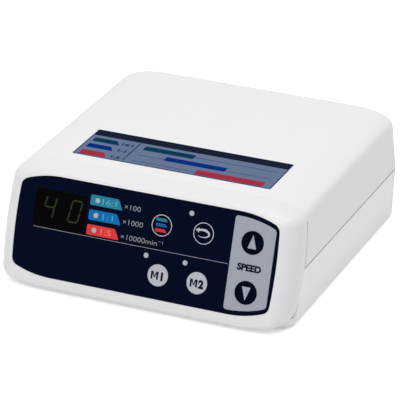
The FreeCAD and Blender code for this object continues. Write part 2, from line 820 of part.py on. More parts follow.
def make_display_window():
    outer = panel_recess - membrane_thickness
    gap = window_gap
    pane = front_box(window_left + gap, window_right - gap, window_low * slope + gap, window_high * slope - gap,
                     outer, outer + window_thickness)
    rim = front_box(window_left - 1.5, window_right + 1.5, window_low * slope - 1.5, window_high * slope + 1.5,
                    bezel_wall, bezel_wall + 0.8)
    core = front_box(window_left + gap, window_right - gap, window_low * slope + gap, window_high * slope - gap,
                     outer, bezel_wall + 0.8)
    return joined([pane, core, rim])


def make_key(column, row, radius):
    """Key cap with the square flange that holds it in and the stem that presses its switch."""
    outer = panel_recess - membrane_thickness - key_proud
    flange_top = bezel_wall + key_seat_gap
    flange_back = flange_top + key_flange_thickness
    stem_end = key_board_depth - switch_height + stem_entry
    cap = front_disc(column, row, radius, outer, flange_back)
    cap = cap.makeChamfer(0.08, [cap_rim(cap)])
    half = radius + key_flange
    low, high = row * slope - half, row * slope + half
    flange = front_box(column - half, column + half, low, high, flange_top, flange_back)
    stem = front_disc(column, row, stem_radius, flange_back - 0.5, stem_end)
    return joined([cap, flange, stem])


def cap_rim(cap):
    """The rim of a key cap's outer face."""
    rings = [edge for edge in cap.Edges if edge.Curve.TypeId == "Part::GeomCircle"]
    outwards = front_frame.Rotation.multVec(V(0, 0, 1))
    return max(rings, key=lambda edge: edge.CenterOfMass.dot(outwards))


def make_lamp_lens(column, row):
    outer = panel_recess - membrane_thickness
    flange = bezel_wall + key_seat_gap
    back = key_board_depth - lamp_chip_height - lamp_air
    pin = front_disc(column, row, lamp_radius, outer, back)
    half = lamp_radius + 0.4
    foot = front_box(column - half, column + half, row * slope - half, row * slope + half, flange, flange + 0.8)
    return joined([pin, foot])


def make_key_board():
    plate = box(-key_board_half_width, key_board_half_width, key_board_low, key_board_high, 0, board_thickness)
    plate = plate.makeChamfer(key_board_corner, [edge for edge in plate.Edges if edge.BoundBox.ZLength > 1])
    plate.translate(V(0, 0, -key_board_depth - board_thickness))
    holes = [rod(x, s, -2 * key_board_depth, board_hole_radius, 2 * key_board_depth, V(0, 0, 1))
             for x, s in key_board_screw_places()]
    return on_front(plate.cut(holes))


def hex_screw(head, head_height, shank, length):
    """Screw with a hexagonal head below z = 0 and its shank above."""
    body = hexagon(0, 0, head, V(0, 0, 1), -head_height, head_height)
    return joined([body, rod(0, 0, -head_height / 2, shank, length + head_height / 2, V(0, 0, 1))])


def board_screw():
    length = board_thickness + board_screw_bite
    return hex_screw(board_screw_head, board_screw_head_height, board_screw_radius, length)


def make_key_board_screws():
    screws = []
    for x, s in key_board_screw_places():
        screw = board_screw()
        screw.translate(V(x, s, -key_board_depth - board_thickness))
        screws.append(on_front(screw))
    return screws


def make_key_switches():
    """One square push switch per key, open where the key's stem enters."""
    switches = []
    half = switch_side / 2
    top = key_board_depth - switch_height
    for name, x, row, radius in keys():
        body = front_box(x - half, x + half, row * slope - half, row * slope + half, top, key_board_depth)
        end = top + stem_entry + key_travel + switch_bore_spare
        bore = front_disc(x, row, stem_radius + switch_bore_gap, top - 1, end)
        switches.append(body.cut(bore))
    return switches


def make_lamp_chips():
    half = lamp_chip_side / 2
    top = key_board_depth - lamp_chip_height
    return [front_box(x - half, x + half, row * slope - half, row * slope + half, top, key_board_depth)
            for x, row in lamps()]


def make_display_module():
    """Two-digit module on the key board, with a step round its face."""
    low, high = window_low * slope + module_margin, window_high * slope - module_margin
    face = key_board_depth - module_depth
    left, right = window_left + module_margin, window_right - module_margin
    case = front_box(left, right, low, high, face, key_board_depth)
    grooves = []
    for number in range(1, digit_count):
        split = left + (right - left) * number / digit_count
        grooves.append(front_box(split - groove_half, split + groove_half, low - 1, high + 1, face - 1,
                                 face + 2 * groove_half))
    return case.cut(grooves)


# Main board and the pieces on it

def make_main_board():
    plate = box(-main_board_half_width, main_board_half_width, main_board_front, main_board_rear,
                main_board_height, main_board_top)
    plate = plate.makeChamfer(main_board_chamfer, [edge for edge in plate.Edges if edge.BoundBox.ZLength > 1])
    holes = [rod(x, y, 0, board_hole_radius, 2 * main_board_top, V(0, 0, 1)) for x, y in main_board_screws()]
    return plate.cut(holes)


def make_main_board_screws():
    screws = []
    for x, y in main_board_screws():
        screw = board_screw()
        screw.rotate(V(0, 0, 0), V(1, 0, 0), 180)
        screw.translate(V(x, y, main_board_top))
        screws.append(screw)
    return screws


def transistor_places():
    pitch = (sink_rear - sink_front) / transistor_count
    return [sink_front + pitch * (number + 0.5) for number in range(transistor_count)]


def screw_height():
    """Height of the screws that hold the transistors to the heat sink."""
    return main_board_top + transistor_lift + transistor_case_height + transistor_screw_step


def make_heat_sink():
    """Extruded comb standing on the main board, base towards the transistors."""
    top = main_board_top + sink_rise
    parts = [box(sink_x - sink_base, sink_x, sink_front, sink_rear, main_board_top, top)]
    pitch = (sink_rear - sink_front - fin_thickness) / (fin_count - 1)
    for number in range(fin_count):
        y = sink_front + pitch * number
        parts.append(box(sink_x - sink_base - fin_reach, sink_x - 0.5, y, y + fin_thickness, main_board_top, top))
    holes = [rod(sink_x - 2 * sink_base, y, screw_height(), sink_screw_radius + fit_gap, 4 * sink_base, V(1, 0, 0))
             for y in transistor_places()]
    return joined(parts).cut(holes)


def make_transistors():
    """Power transistors flat against the heat sink, their legs down to the board."""
    group = []
    bottom = main_board_top + transistor_lift
    for y in transistor_places():
        half = transistor_width / 2
        tab = box(sink_x, sink_x + transistor_tab, y - half, y + half, bottom, bottom + transistor_height)
        case = box(sink_x, sink_x + transistor_body, y - half, y + half, bottom, bottom + transistor_case_height)
        parts = [tab, case]
        inner = sink_x + leg_inner
        for leg in (y - leg_pitch, y, y + leg_pitch):
            parts.append(box(inner, inner + leg_thickness, leg - leg_half, leg + leg_half, main_board_top,
                             bottom + leg_half))
        hole = rod(sink_x - transistor_tab, y, screw_height(), transistor_hole, 3 * transistor_tab, V(1, 0, 0))
        group.append(joined(parts).cut(hole))
    return group


def make_transistor_screws():
    screws = []
    length = transistor_tab + sink_screw_bite
    for y in transistor_places():
        screw = hex_screw(sink_screw_head, sink_screw_head_height, sink_screw_radius, length)
        screw.Placement = FreeCAD.Placement(V(sink_x + transistor_tab, y, screw_height()),
                                            FreeCAD.Rotation(V(0, 0, 1), V(-1, 0, 0)))
        screws.append(screw)
    return screws


def revolved(points, x, y, z, axis):
    """Solid of revolution from (radius, height) points, set on a point with its height along an axis."""
    corners = [V(radius, 0, height) for radius, height in points]
    wire = Part.makePolygon(corners + [corners[0]])
    solid = Part.Face(wire).revolve(V(0, 0, 0), V(0, 0, 1), 360)
    solid.Placement = FreeCAD.Placement(V(x, y, z), FreeCAD.Rotation(V(0, 0, 1), axis))
    return solid


def make_filter_capacitors():
    """Electrolytic capacitors: a can with a bevelled top that carries a vent score."""
    cans = []
    r, h = capacitor_radius, capacitor_height
    profile = [(0, 0), (r, 0), (r, h - can_bevel), (r - can_bevel, h), (0, h)]
    for number in range(capacitor_count):
        y = capacitor_front + number * capacitor_pitch
        can = revolved(profile, capacitor_x, y, main_board_top, V(0, 0, 1))
        top = main_board_top + h
        half = r - vent_inset
        cans.append(can.cut(box(capacitor_x - half, capacitor_x + half, y - vent_half, y + vent_half,
                                top - 2 * vent_half, top + 1)))
    return cans


def make_power_choke():
    """Shielded choke: square foot, round ferrite cap."""
    top = main_board_top
    side, low = choke_half, choke_foot - floor_bury
    foot = box(choke_x - side, choke_x + side, choke_y - side, choke_y + side, top, top + choke_foot)
    foot = foot.makeChamfer(choke_foot, [edge for edge in foot.Edges if edge.BoundBox.ZLength > choke_foot - 0.1])
    cap = rod(choke_x, choke_y, top + low, side - choke_bevel, choke_height - low, V(0, 0, 1))
    rim = [edge for edge in cap.Edges if edge.BoundBox.ZMin > top + choke_height - 0.1]
    cap = cap.makeChamfer(choke_bevel, rim)
    return joined([foot, cap])


def make_control_chips():
    """The processor with its legs, and four small drivers beside it."""
    top = main_board_top
    half = chip_half
    parts = [box(chip_x - half, chip_x + half, chip_y - half, chip_y + half, top, top + chip_height)]
    pitch = 2 * (chip_half - chip_leg_inset) / (chip_leg_count - 1)
    reach, side, height = chip_half + chip_leg_reach, chip_leg_half, top + chip_leg_height
    for number in range(chip_leg_count):
        step = chip_leg_inset - chip_half + pitch * number
        parts.append(box(chip_x - reach, chip_x + reach, chip_y + step - side, chip_y + step + side, top, height))
        parts.append(box(chip_x + step - side, chip_x + step + side, chip_y - reach, chip_y + reach, top, height))
    centres = [chip_x - driver_lead + driver_pitch * number for number in range(driver_count)]
    drivers = [box(x - driver_half_width, x + driver_half_width, driver_y - driver_half_depth,
                   driver_y + driver_half_depth, top, top + driver_height) for x in centres]
    return [joined(parts)] + drivers


def make_buzzer():
    can = rod(buzzer_x, buzzer_y, main_board_top, buzzer_radius, buzzer_height, V(0, 0, 1))
    return can.cut(rod(buzzer_x, buzzer_y, main_board_top + buzzer_height - buzzer_hole_depth, buzzer_hole,
                       buzzer_height, V(0, 0, 1)))


def make_pressure_sensor():
    """Air pressure sensor upright on the main board, its port level with the air inlet."""
    half = sensor_half
    body = box(air_x - half, air_x + half, sensor_y - half, sensor_y + half, main_board_top,
               main_board_top + sensor_height)
    body = body.makeChamfer(1, [edge for edge in body.Edges if edge.BoundBox.ZMin > main_board_top + 1])
    port = rod(air_x, sensor_y + half - 1, rear_axis_height, tail_radius, port_length, V(0, 1, 0))
    return joined([body, port])


def path_of(points, bend):
    """Straight runs through points, joined by tangent arcs of one radius."""
    edges = []
    start = points[0]
    for before, corner, after in zip(points, points[1:], points[2:]):
        arrive, leave = corner.sub(before).normalize(), after.sub(corner).normalize()
        turn = math.acos(max(-1.0, min(1.0, arrive.dot(leave))))
        trim = bend * math.tan(turn / 2)
        first = corner.sub(V(arrive).multiply(trim))
        last = corner.add(V(leave).multiply(trim))
        inward = V(leave).sub(arrive).normalize()
        middle = corner.add(inward.multiply(bend / math.cos(turn / 2) - bend))
        if first.sub(start).Length > 1e-6:
            edges.append(Part.LineSegment(start, first).toShape())
        edges.append(Part.Arc(first, middle, last).toShape())
        start = last
    edges.append(Part.LineSegment(start, points[-1]).toShape())
    return Part.Wire(edges)


def make_pressure_hose():
    """Silicone hose pushed over the air inlet's tail and the sensor's port."""
    start = sensor_y + sensor_half + hose_end_gap
    end = rear_panel_inner - nut_thickness - tail_start - 4 * hose_end_gap
    hose = rod(air_x, start, rear_axis_height, hose_radius, end - start, V(0, 1, 0))
    return hose.cut(rod(air_x, start - 1, rear_axis_height, hose_radius - hose_wall, end - start + 2, V(0, 1, 0)))


def contact_places():
    places = []
    for number in range(contact_count):
        angle = math.radians(90 + 360 * number / contact_count)
        x = motor_x + contact_circle * math.cos(angle)
        places.append((x, rear_axis_height + contact_circle * math.sin(angle)))
    return places


# Rear panel and its fittings

def make_rear_panel():
    plate = box(-rear_panel_half_width, rear_panel_half_width, rear_panel_inner, rear_face,
                rear_panel_low, rear_panel_high)
    plate = plate.makeFillet(rear_panel_corner, [edge for edge in plate.Edges if edge.BoundBox.YLength > 1 and
                                                 edge.BoundBox.XLength < 0.1 and edge.BoundBox.ZLength < 0.1])
    holes = [rod(x, 0, rear_axis_height, radius + fit_gap, beyond, V(0, 1, 0))
             for x, radius in ((motor_x, socket_barrel), (power_x, inlet_barrel), (air_x, air_thread))]
    gap = slot_gap
    holes.append(box(switch_x - switch_half_width - gap, switch_x + switch_half_width + gap, 0, beyond,
                     rear_axis_height - switch_half_height - gap, rear_axis_height + switch_half_height + gap))
    return plate.cut(holes)


def make_motor_socket_shell():
    """Turned shell of the motor socket: flange outside, threaded barrel through the panel."""
    reach, depth = socket_reach, socket_body_depth + rear_panel_thickness
    lip = socket_flange_thickness
    bore_end = reach - socket_bore_depth
    profile = [(socket_bore + edge_bevel, reach), (socket_barrel - edge_bevel, reach),
               (socket_barrel, reach - edge_bevel), (socket_barrel, lip), (socket_flange - edge_bevel, lip),
               (socket_flange, lip - edge_bevel), (socket_flange, 0), (socket_barrel, 0), (socket_barrel, -depth),
               (insert_radius + fit_gap, -depth), (insert_radius + fit_gap, bore_end), (socket_bore, bore_end),
               (socket_bore, reach - edge_bevel)]
    shell = revolved(profile, motor_x, rear_face, rear_axis_height, V(0, 1, 0))
    keyway = box(motor_x - keyway_half, motor_x + keyway_half, rear_face + bore_end, beyond,
                 rear_axis_height + socket_bore - 1, rear_axis_height + socket_bore + keyway_depth)
    return shell.cut(keyway)


def make_motor_socket_insert():
    """Insulator that fills the shell behind its bore and carries the contacts."""
    front = rear_face + socket_reach - socket_bore_depth
    back = rear_panel_inner - socket_body_depth
    body = rod(motor_x, back, rear_axis_height, insert_radius, front - back, V(0, 1, 0))
    holes = [rod(x, back - 1, z, contact_radius + contact_gap, beyond, V(0, 1, 0)) for x, z in contact_places()]
    return body.cut(holes)


def make_motor_socket_contacts():
    front = rear_face + socket_reach - socket_bore_depth
    back = rear_panel_inner - socket_body_depth - contact_tail
    contacts = []
    for x, z in contact_places():
        contacts.append(rod(x, back, z, contact_radius, front - back, V(0, 1, 0)))
    return contacts


def hexagon(x, z, flat, axis, start, length):
    """Hexagonal prism of a given half width across flats, along Y or Z from a start point."""
    radius = flat / math.cos(math.pi / 6)
    turned = V(x, start, z) if axis.y else V(x, z, start)
    turns = [math.radians(60 * number + 30) for number in range(6)]
    corners = [V(radius * math.cos(turn), radius * math.sin(turn), 0) for turn in turns]
    solid = Part.Face(Part.makePolygon(corners + [corners[0]])).extrude(V(0, 0, length))
    solid.Placement = FreeCAD.Placement(turned, FreeCAD.Rotation(V(0, 0, 1), axis))
    return solid


def hex_nut(x, bore, rim, thickness):
    """Hexagonal nut against the inside of the rear panel."""
    body = hexagon(x, rear_axis_height, bore + rim, V(0, 1, 0), rear_panel_inner - thickness, thickness)
    return body.cut(rod(x, 0, rear_axis_height, bore + fit_gap, beyond, V(0, 1, 0)))


def make_power_inlet():
    """Barrel of the direct current inlet, with its bore open to the rear."""
    depth = inlet_depth + rear_panel_thickness
    reach = inlet_reach
    profile = [(inlet_bore + edge_bevel, reach), (inlet_flange - edge_bevel, reach),
               (inlet_flange, reach - edge_bevel), (inlet_flange, 0), (inlet_barrel, 0), (inlet_barrel, -depth),
               (inlet_pin + fit_gap, -depth), (inlet_pin + fit_gap, reach - inlet_bore_depth),
               (inlet_bore, reach - inlet_bore_depth), (inlet_bore, reach - edge_bevel)]
    return revolved(profile, power_x, rear_face, rear_axis_height, V(0, 1, 0))


def make_power_inlet_pin():
    back = rear_panel_inner - inlet_depth - inlet_pin_tail
    tip = rear_face + inlet_reach - inlet_pin_sink
    pin = rod(power_x, back, rear_axis_height, inlet_pin, tip - back, V(0, 1, 0))
    return pin.makeChamfer(inlet_pin_bevel, [edge for edge in pin.Edges if edge.BoundBox.YMin > rear_face])


def make_air_inlet():
    """Turned inlet for the drive air: hose tail inside, thread and hexagon at the panel, spigot outside."""
    lip, tail = air_hex_thickness, rear_panel_thickness + nut_thickness + air_tail
    stop = rear_panel_thickness + nut_thickness + tail_start
    end = lip + air_spigot_length
    profile = [(air_hole, end), (air_spigot - edge_bevel, end), (air_spigot, end - edge_bevel),
               (air_spigot, edge_bevel), (air_thread, edge_bevel), (air_thread, -stop), (tail_radius, -stop),
               (tail_radius, -tail), (air_hole, -tail)]
    body = revolved(profile, air_x, rear_face, rear_axis_height, V(0, 1, 0))
    collar = hexagon(air_x, rear_axis_height, air_hex, V(0, 1, 0), rear_face, lip)
    collar = collar.cut(rod(air_x, rear_face - 1, rear_axis_height, air_hole + edge_bevel, 3 * lip, V(0, 1, 0)))
    return joined([body, collar])


def rocker_pivot():
    return rear_face + switch_flange_thickness - rocker_inset


def make_switch_housing():
    """Housing of the rocker switch, snapped into the rear panel, with room for the rocker to swing."""
    rim = switch_flange_rim
    x, z = switch_x, rear_axis_height
    body = box(x - switch_half_width, x + switch_half_width, rear_panel_inner - switch_body_depth,
               rear_face + switch_bury, z - switch_half_height, z + switch_half_height)
    flange = box(x - switch_half_width - rim, x + switch_half_width + rim, rear_face,
                 rear_face + switch_flange_thickness, z - switch_half_height - rim, z + switch_half_height + rim)
    rims = [edge for edge in flange.Edges if edge.BoundBox.YMin > rear_face + switch_flange_thickness / 2]
    flange = flange.makeFillet(switch_flange_round, rims)
    half = rocker_half_width + rocker_gap
    well = rod(x - half, rocker_pivot(), z, rocker_radius + rocker_gap, 2 * half, V(1, 0, 0))
    reach = half + pivot_length + fit_gap
    pins = rod(x - reach, rocker_pivot(), z, pivot_radius + fit_gap, 2 * reach, V(1, 0, 0))
    return joined([body, flange]).cut([well, pins])


def make_switch_rocker():
    """Rocker with a shallow hollow across its face, on two pivot pins, leaning to on."""
    x, y, z = switch_x, rocker_pivot(), rear_axis_height
    half = rocker_half_width
    disc = rod(x - half, y, z, rocker_radius, 2 * half, V(1, 0, 0))
    far, left, right = 2 * rocker_radius, x - rocker_radius, x + rocker_radius
    back = box(left, right, y - far, y - rocker_back, z - far, z + far)
    corners = [V(left, y + rocker_valley, z), V(left, y + rocker_rise, z + rocker_radius),
               V(left, y + far, z + rocker_radius), V(left, y + far, z - rocker_radius),
               V(left, y + rocker_rise, z - rocker_radius), V(left, y + rocker_valley, z)]
    front = Part.Face(Part.makePolygon(corners)).extrude(V(2 * rocker_radius, 0, 0))
    lip, edge = y + rocker_rise - lip_wall / 4, rocker_radius - rocker_lip
    tips = [box(left, right, lip, y + far, z + edge, z + far), box(left, right, lip, y + far, z - far, z - edge)]
    paddle = disc.cut([back, front] + tips)
    pins = rod(x - half - pivot_length, y, z, pivot_radius, 2 * (half + pivot_length), V(1, 0, 0))
    rocker = joined([paddle, pins])
    rocker.rotate(V(x, y, z), V(1, 0, 0), rocker_rest)
    return rocker


def make_switch_terminals():
    back = rear_panel_inner - switch_body_depth
    return [box(switch_x - terminal_half_width, switch_x + terminal_half_width, back - terminal_reach, back,
                z - terminal_half, z + terminal_half)
            for z in (rear_axis_height - terminal_step, rear_axis_height + terminal_step)]


# Small pieces of the casing

def make_case_screws():
    """Long screws from below into the upper cover's posts."""
    screws = []
    for x, y in screw_places():
        screw = hex_screw(case_screw_head, case_screw_head_height, case_screw_radius, case_screw_length)
        screw.translate(V(x, y, case_screw_pocket))
        screws.append(screw)
    return screws


def make_feet():
    feet = []
    for x, y in foot_places():
        profile = [(0, -foot_drop), (foot_radius - 2 * foot_edge, -foot_drop), (foot_radius, foot_edge - foot_drop),
                   (foot_radius, foot_recess), (0, foot_recess)]
        feet.append(revolved(profile, x, y, 0, V(0, 0, 1)))
    return feet


def make_top_label():
    label = box(-label_half_width, label_half_width, label_front, label_rear, case_height - label_sink,
                case_height - label_sink + label_thickness)
    uprights = [edge for edge in label.Edges if edge.BoundBox.ZLength > 0.9 * label_thickness]
    return label.makeFillet(label_corner, uprights)


# Ribbon between the boards

def board_back_point(s, depth):
    """Point (y, z) behind the key board, at a slope length and a depth behind the front plane."""
    return front_frame.multVec(V(0, s, -depth))


def make_ribbon_plugs():
    """The ribbon's two plugs: one on the back of the key board, one on the main board."""
    back = key_board_depth + board_thickness
    half = ribbon_half_width + plug_rim
    low, high = ribbon_slope_length - plug_half, ribbon_slope_length + plug_half
    upper = front_box(-half, half, low, high, back, back + plug_depth)
    lower = box(-half, half, ribbon_header_y - plug_half, ribbon_header_y + plug_half,
                main_board_top, main_board_top + plug_depth)
    return [upper, lower]


def make_ribbon_cable():
    """Flat ribbon bent from one plug to the other, wide along X."""
    back = key_board_depth + board_thickness + plug_depth
    start = board_back_point(ribbon_slope_length, back)
    way = board_back_point(ribbon_slope_length, back + 1).sub(start)
    end = V(0, ribbon_header_y, main_board_top + plug_depth)
    corner = start.add(V(way).multiply((end.y - start.y) / way.y))
    path = path_of([start, corner, end], ribbon_bend)
    side = V(0, -way.z, way.y).normalize().multiply(ribbon_thickness / 2)
    corners = [start.add(side).add(V(-ribbon_half_width, 0, 0)), start.add(side).add(V(ribbon_half_width, 0, 0)),
               start.sub(side).add(V(ribbon_half_width, 0, 0)), start.sub(side).add(V(-ribbon_half_width, 0, 0))]
    return path.makePipeShell([Part.makePolygon(corners + [corners[0]])], True, False)


def build():
    keep("upper_cover", make_upper_cover())
    keep("lower_cover", make_lower_cover())
    keep("front_bezel", make_front_bezel())
    keep("membrane_sheet", make_membrane_sheet())
    keep("display_window", make_display_window())
    for name, column, row, radius in keys():
        keep(name, make_key(column, row, radius))
    keep("lamp_lenses", *[make_lamp_lens(x, row) for x, row in lamps()])
    keep("key_board", make_key_board())
    keep("key_board_screws", *make_key_board_screws())
    keep("key_switches", *make_key_switches())
    keep("lamp_chips", *make_lamp_chips())
    keep("display_module", make_display_module())
    keep("ribbon_plugs", *make_ribbon_plugs())
    keep("ribbon_cable", make_ribbon_cable())
    keep("main_board", make_main_board())
    keep("main_board_screws", *make_main_board_screws())
    keep("heat_sink", make_heat_sink())
    keep("power_transistors", *make_transistors())
    keep("transistor_screws", *make_transistor_screws())
    keep("filter_capacitors", *make_filter_capacitors())
    keep("power_choke", make_power_choke())
    keep("control_chips", *make_control_chips())
    keep("buzzer", make_buzzer())
    keep("pressure_sensor", make_pressure_sensor())
    keep("pressure_hose", make_pressure_hose())
    keep("rear_panel", make_rear_panel())
    keep("motor_socket_shell", make_motor_socket_shell())
    keep("motor_socket_insert", make_motor_socket_insert())
    keep("motor_socket_contacts", *make_motor_socket_contacts())
    keep("motor_socket_nut", hex_nut(motor_x, socket_barrel, motor_nut_rim, nut_thickness))
    keep("power_inlet", make_power_inlet())
    keep("power_inlet_pin", make_power_inlet_pin())
    keep("power_inlet_nut", hex_nut(power_x, inlet_barrel, nut_rim, nut_thickness))
    keep("air_inlet", make_air_inlet())
    keep("air_inlet_nut", hex_nut(air_x, air_thread, air_nut_rim, nut_thickness))
    keep("switch_housing", make_switch_housing())
    keep("switch_rocker", make_switch_rocker())
    keep("switch_terminals", *make_switch_terminals())
    keep("case_screws", *make_case_screws())
    keep("feet", *make_feet())
    keep("top_label", make_top_label())


build()
# Part frame: centre of the footprint, soles of the feet at z = 0
front_tip = min(point.y for point in pieces["front_bezel"].tessellate(0.02)[0])
to_part_frame = V(0, -(front_tip + rear_tip) / 2, foot_drop)
os.makedirs("parts", exist_ok=True)
for name, shape in pieces.items():
    shape.translate(to_part_frame)
    shape.exportStep(os.path.join("parts", name + ".step"))
print(len(pieces), "nodes, moved by", to_part_frame)
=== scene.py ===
import json
import math
import bmesh
import bpy
import numpy as np
from mathutils import Matrix, Vector

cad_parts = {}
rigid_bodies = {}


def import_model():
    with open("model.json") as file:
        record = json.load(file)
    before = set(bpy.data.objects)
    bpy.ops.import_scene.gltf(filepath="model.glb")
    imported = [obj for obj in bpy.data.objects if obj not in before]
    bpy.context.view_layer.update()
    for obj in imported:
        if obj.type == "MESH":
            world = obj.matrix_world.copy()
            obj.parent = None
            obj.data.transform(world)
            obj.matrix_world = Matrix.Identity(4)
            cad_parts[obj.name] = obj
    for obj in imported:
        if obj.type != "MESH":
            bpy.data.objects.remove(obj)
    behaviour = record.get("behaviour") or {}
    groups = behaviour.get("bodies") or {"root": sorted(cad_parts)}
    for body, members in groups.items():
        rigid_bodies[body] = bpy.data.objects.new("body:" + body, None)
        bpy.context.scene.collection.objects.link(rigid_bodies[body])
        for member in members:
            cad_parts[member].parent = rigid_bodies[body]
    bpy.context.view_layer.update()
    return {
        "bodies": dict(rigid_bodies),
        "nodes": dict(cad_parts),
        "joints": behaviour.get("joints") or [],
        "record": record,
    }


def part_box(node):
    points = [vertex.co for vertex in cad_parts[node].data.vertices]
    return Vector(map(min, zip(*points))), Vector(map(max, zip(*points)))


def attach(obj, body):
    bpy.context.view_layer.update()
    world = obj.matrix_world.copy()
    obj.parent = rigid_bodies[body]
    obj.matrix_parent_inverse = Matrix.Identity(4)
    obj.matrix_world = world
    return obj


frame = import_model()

# Looks of the dental micromotor control unit. Lengths in millimetres are
# multiplied by MM where they become Blender's metres.

MM = 0.001
MICRONS = 1e6                   # in a metre
WELD = 1e-7                     # points nearer than this are one, in metres, in ink
CAD_WELD = 1e-6
SMOOTH_ANGLE = math.radians(32)

# Colours of the mouldings, the film and the inks, and of painted light and shade: a lighter lower cover and
# dark lines along the joints

WHITE_COVER = (0.80, 0.80, 0.805, 1)
# The lower cover is the same white plastic as the upper one, painted lighter: painted light from the floor's
# bounce on its walls, which lean downwards
WHITE_LOWER_PAINTED_LIGHTER = (0.87, 0.868, 0.87, 1)
WHITE_BEZEL = (0.775, 0.778, 0.79, 1)
NAVY = (0.0010, 0.0029, 0.0145, 1)
SILVER = (0.36, 0.385, 0.45, 1)
INK_LIGHT = (0.50, 0.52, 0.56, 1)
INK_DARK = (0.006, 0.010, 0.030, 1)
TEAL = (0.020, 0.21, 0.325, 1)
BLUE = (0.004, 0.155, 0.41, 1)
RED = (0.71, 0.045, 0.044, 1)
PRINT_AND_PAINTED_SHADE = {
    "light": INK_LIGHT, "dark": INK_DARK, "silver": SILVER, "teal": TEAL, "blue": BLUE, "red": RED,
    "factor": (0.32, 0.34, 0.38, 1), "rule": (0.36, 0.37, 0.40, 1), "segment": (0.016, 0.032, 0.010, 1),
    "teal_light": (0.10, 0.44, 0.52, 1), "blue_light": (0.06, 0.33, 0.66, 1),
    "red_light": (0.95, 0.20, 0.17, 1), "key_teal": (0.022, 0.18, 0.27, 1),
    "key_blue": (0.005, 0.11, 0.28, 1), "key_red": (0.62, 0.035, 0.035, 1),
    "label_teal": (0.003, 0.040, 0.085, 1), "label_blue": (0.003, 0.026, 0.20, 1),
    "label_red": (0.33, 0.028, 0.055, 1), "label_dark": (0.010, 0.014, 0.034, 1),
    "label_grey": (0.02, 0.03, 0.07, 1), "label_edge": (0.015, 0.018, 0.03, 1),
    # the last two are no inks: painted shadow along the covers' parting line and along their seams with the
    # bezel
    "painted_parting_shadow": (0.10, 0.10, 0.10, 1), "seam": (0.42, 0.42, 0.42, 1)}


# Helpers for nodes, meshes and objects

def math_node(nodes, operation, *values):
    """Math node with the values of its inputs, and None for one that is linked."""
    node = nodes.new("ShaderNodeMath")
    node.operation = operation
    for number, value in enumerate(values):
        if value is not None:
            node.inputs[number].default_value = value
    return node


def mesh_from(shape, name):
    mesh = bpy.data.meshes.new(name)
    shape.to_mesh(mesh)
    shape.free()
    return mesh


def add_object(name, data):
    item = bpy.data.objects.new(name, data)
    bpy.context.scene.collection.objects.link(item)
    return item


# Shared effects, as shader node groups

def new_group(name, inputs, outputs):
    """Empty shader group with float or colour sockets given as (name, kind, value)."""
    group = bpy.data.node_groups.new(name, "ShaderNodeTree")
    for label, kind, value in inputs:
        socket = group.interface.new_socket(label, in_out="INPUT", socket_type=kind)
        if value is not None:
            socket.default_value = value
    for label, kind in outputs:
        group.interface.new_socket(label, in_out="OUTPUT", socket_type=kind)
    return group, group.nodes.new("NodeGroupInput"), group.nodes.new("NodeGroupOutput")


def make_mottle_group():
    """Slow variation of colour and gloss over a moulded or printed surface."""
    group, given, result = new_group(
        "mottle",
        [("Position", "NodeSocketVector", None), ("Base", "NodeSocketColor", (1, 1, 1, 1)),
         ("Spread", "NodeSocketFloat", 0.04), ("Scale", "NodeSocketFloat", 40.0),
         ("Roughness", "NodeSocketFloat", 0.4), ("Roughness Spread", "NodeSocketFloat", 0.05)],
        [("Color", "NodeSocketColor"), ("Roughness", "NodeSocketFloat")])
    nodes, links = group.nodes, group.links
    cloud = nodes.new("ShaderNodeTexNoise")
    cloud.inputs["Detail"].default_value = 4.0
    links.new(given.outputs["Position"], cloud.inputs["Vector"])
    links.new(given.outputs["Scale"], cloud.inputs["Scale"])
    centred = math_node(nodes, "SUBTRACT", None, 0.5)
    links.new(cloud.outputs["Fac"], centred.inputs[0])
    gain = math_node(nodes, "MULTIPLY_ADD", None, None, 1.0)
    links.new(centred.outputs[0], gain.inputs[0])
    links.new(given.outputs["Spread"], gain.inputs[1])
    tint = nodes.new("ShaderNodeVectorMath")
    tint.operation = "SCALE"
    links.new(given.outputs["Base"], tint.inputs[0])
    links.new(gain.outputs[0], tint.inputs["Scale"])
    links.new(tint.outputs[0], result.inputs["Color"])
    rough = math_node(nodes, "MULTIPLY_ADD")
    links.new(centred.outputs[0], rough.inputs[0])
    links.new(given.outputs["Roughness Spread"], rough.inputs[1])
    links.new(given.outputs["Roughness"], rough.inputs[2])
    links.new(rough.outputs[0], result.inputs["Roughness"])
    return group


def make_grain_group():
    """Fine pitted grain of a spark eroded mould, as a height."""
    group, given, result = new_group(
        "grain",
        [("Position", "NodeSocketVector", None), ("Scale", "NodeSocketFloat", 1800.0),
         ("Coarseness", "NodeSocketFloat", 0.5)],
        [("Height", "NodeSocketFloat")])
    nodes, links = group.nodes, group.links
    fine = nodes.new("ShaderNodeTexNoise")
    fine.inputs["Detail"].default_value = 3.0
    fine.inputs["Roughness"].default_value = 0.6
    links.new(given.outputs["Position"], fine.inputs["Vector"])
    links.new(given.outputs["Scale"], fine.inputs["Scale"])
    pits = nodes.new("ShaderNodeTexVoronoi")
    pits.feature = "SMOOTH_F1"
    links.new(given.outputs["Position"], pits.inputs["Vector"])
    links.new(given.outputs["Scale"], pits.inputs["Scale"])
    both = nodes.new("ShaderNodeMix")
    both.data_type = "FLOAT"
    links.new(given.outputs["Coarseness"], both.inputs[0])
    links.new(fine.outputs["Fac"], both.inputs[2])
    links.new(pits.outputs["Distance"], both.inputs[3])
    links.new(both.outputs[0], result.inputs["Height"])
    return group


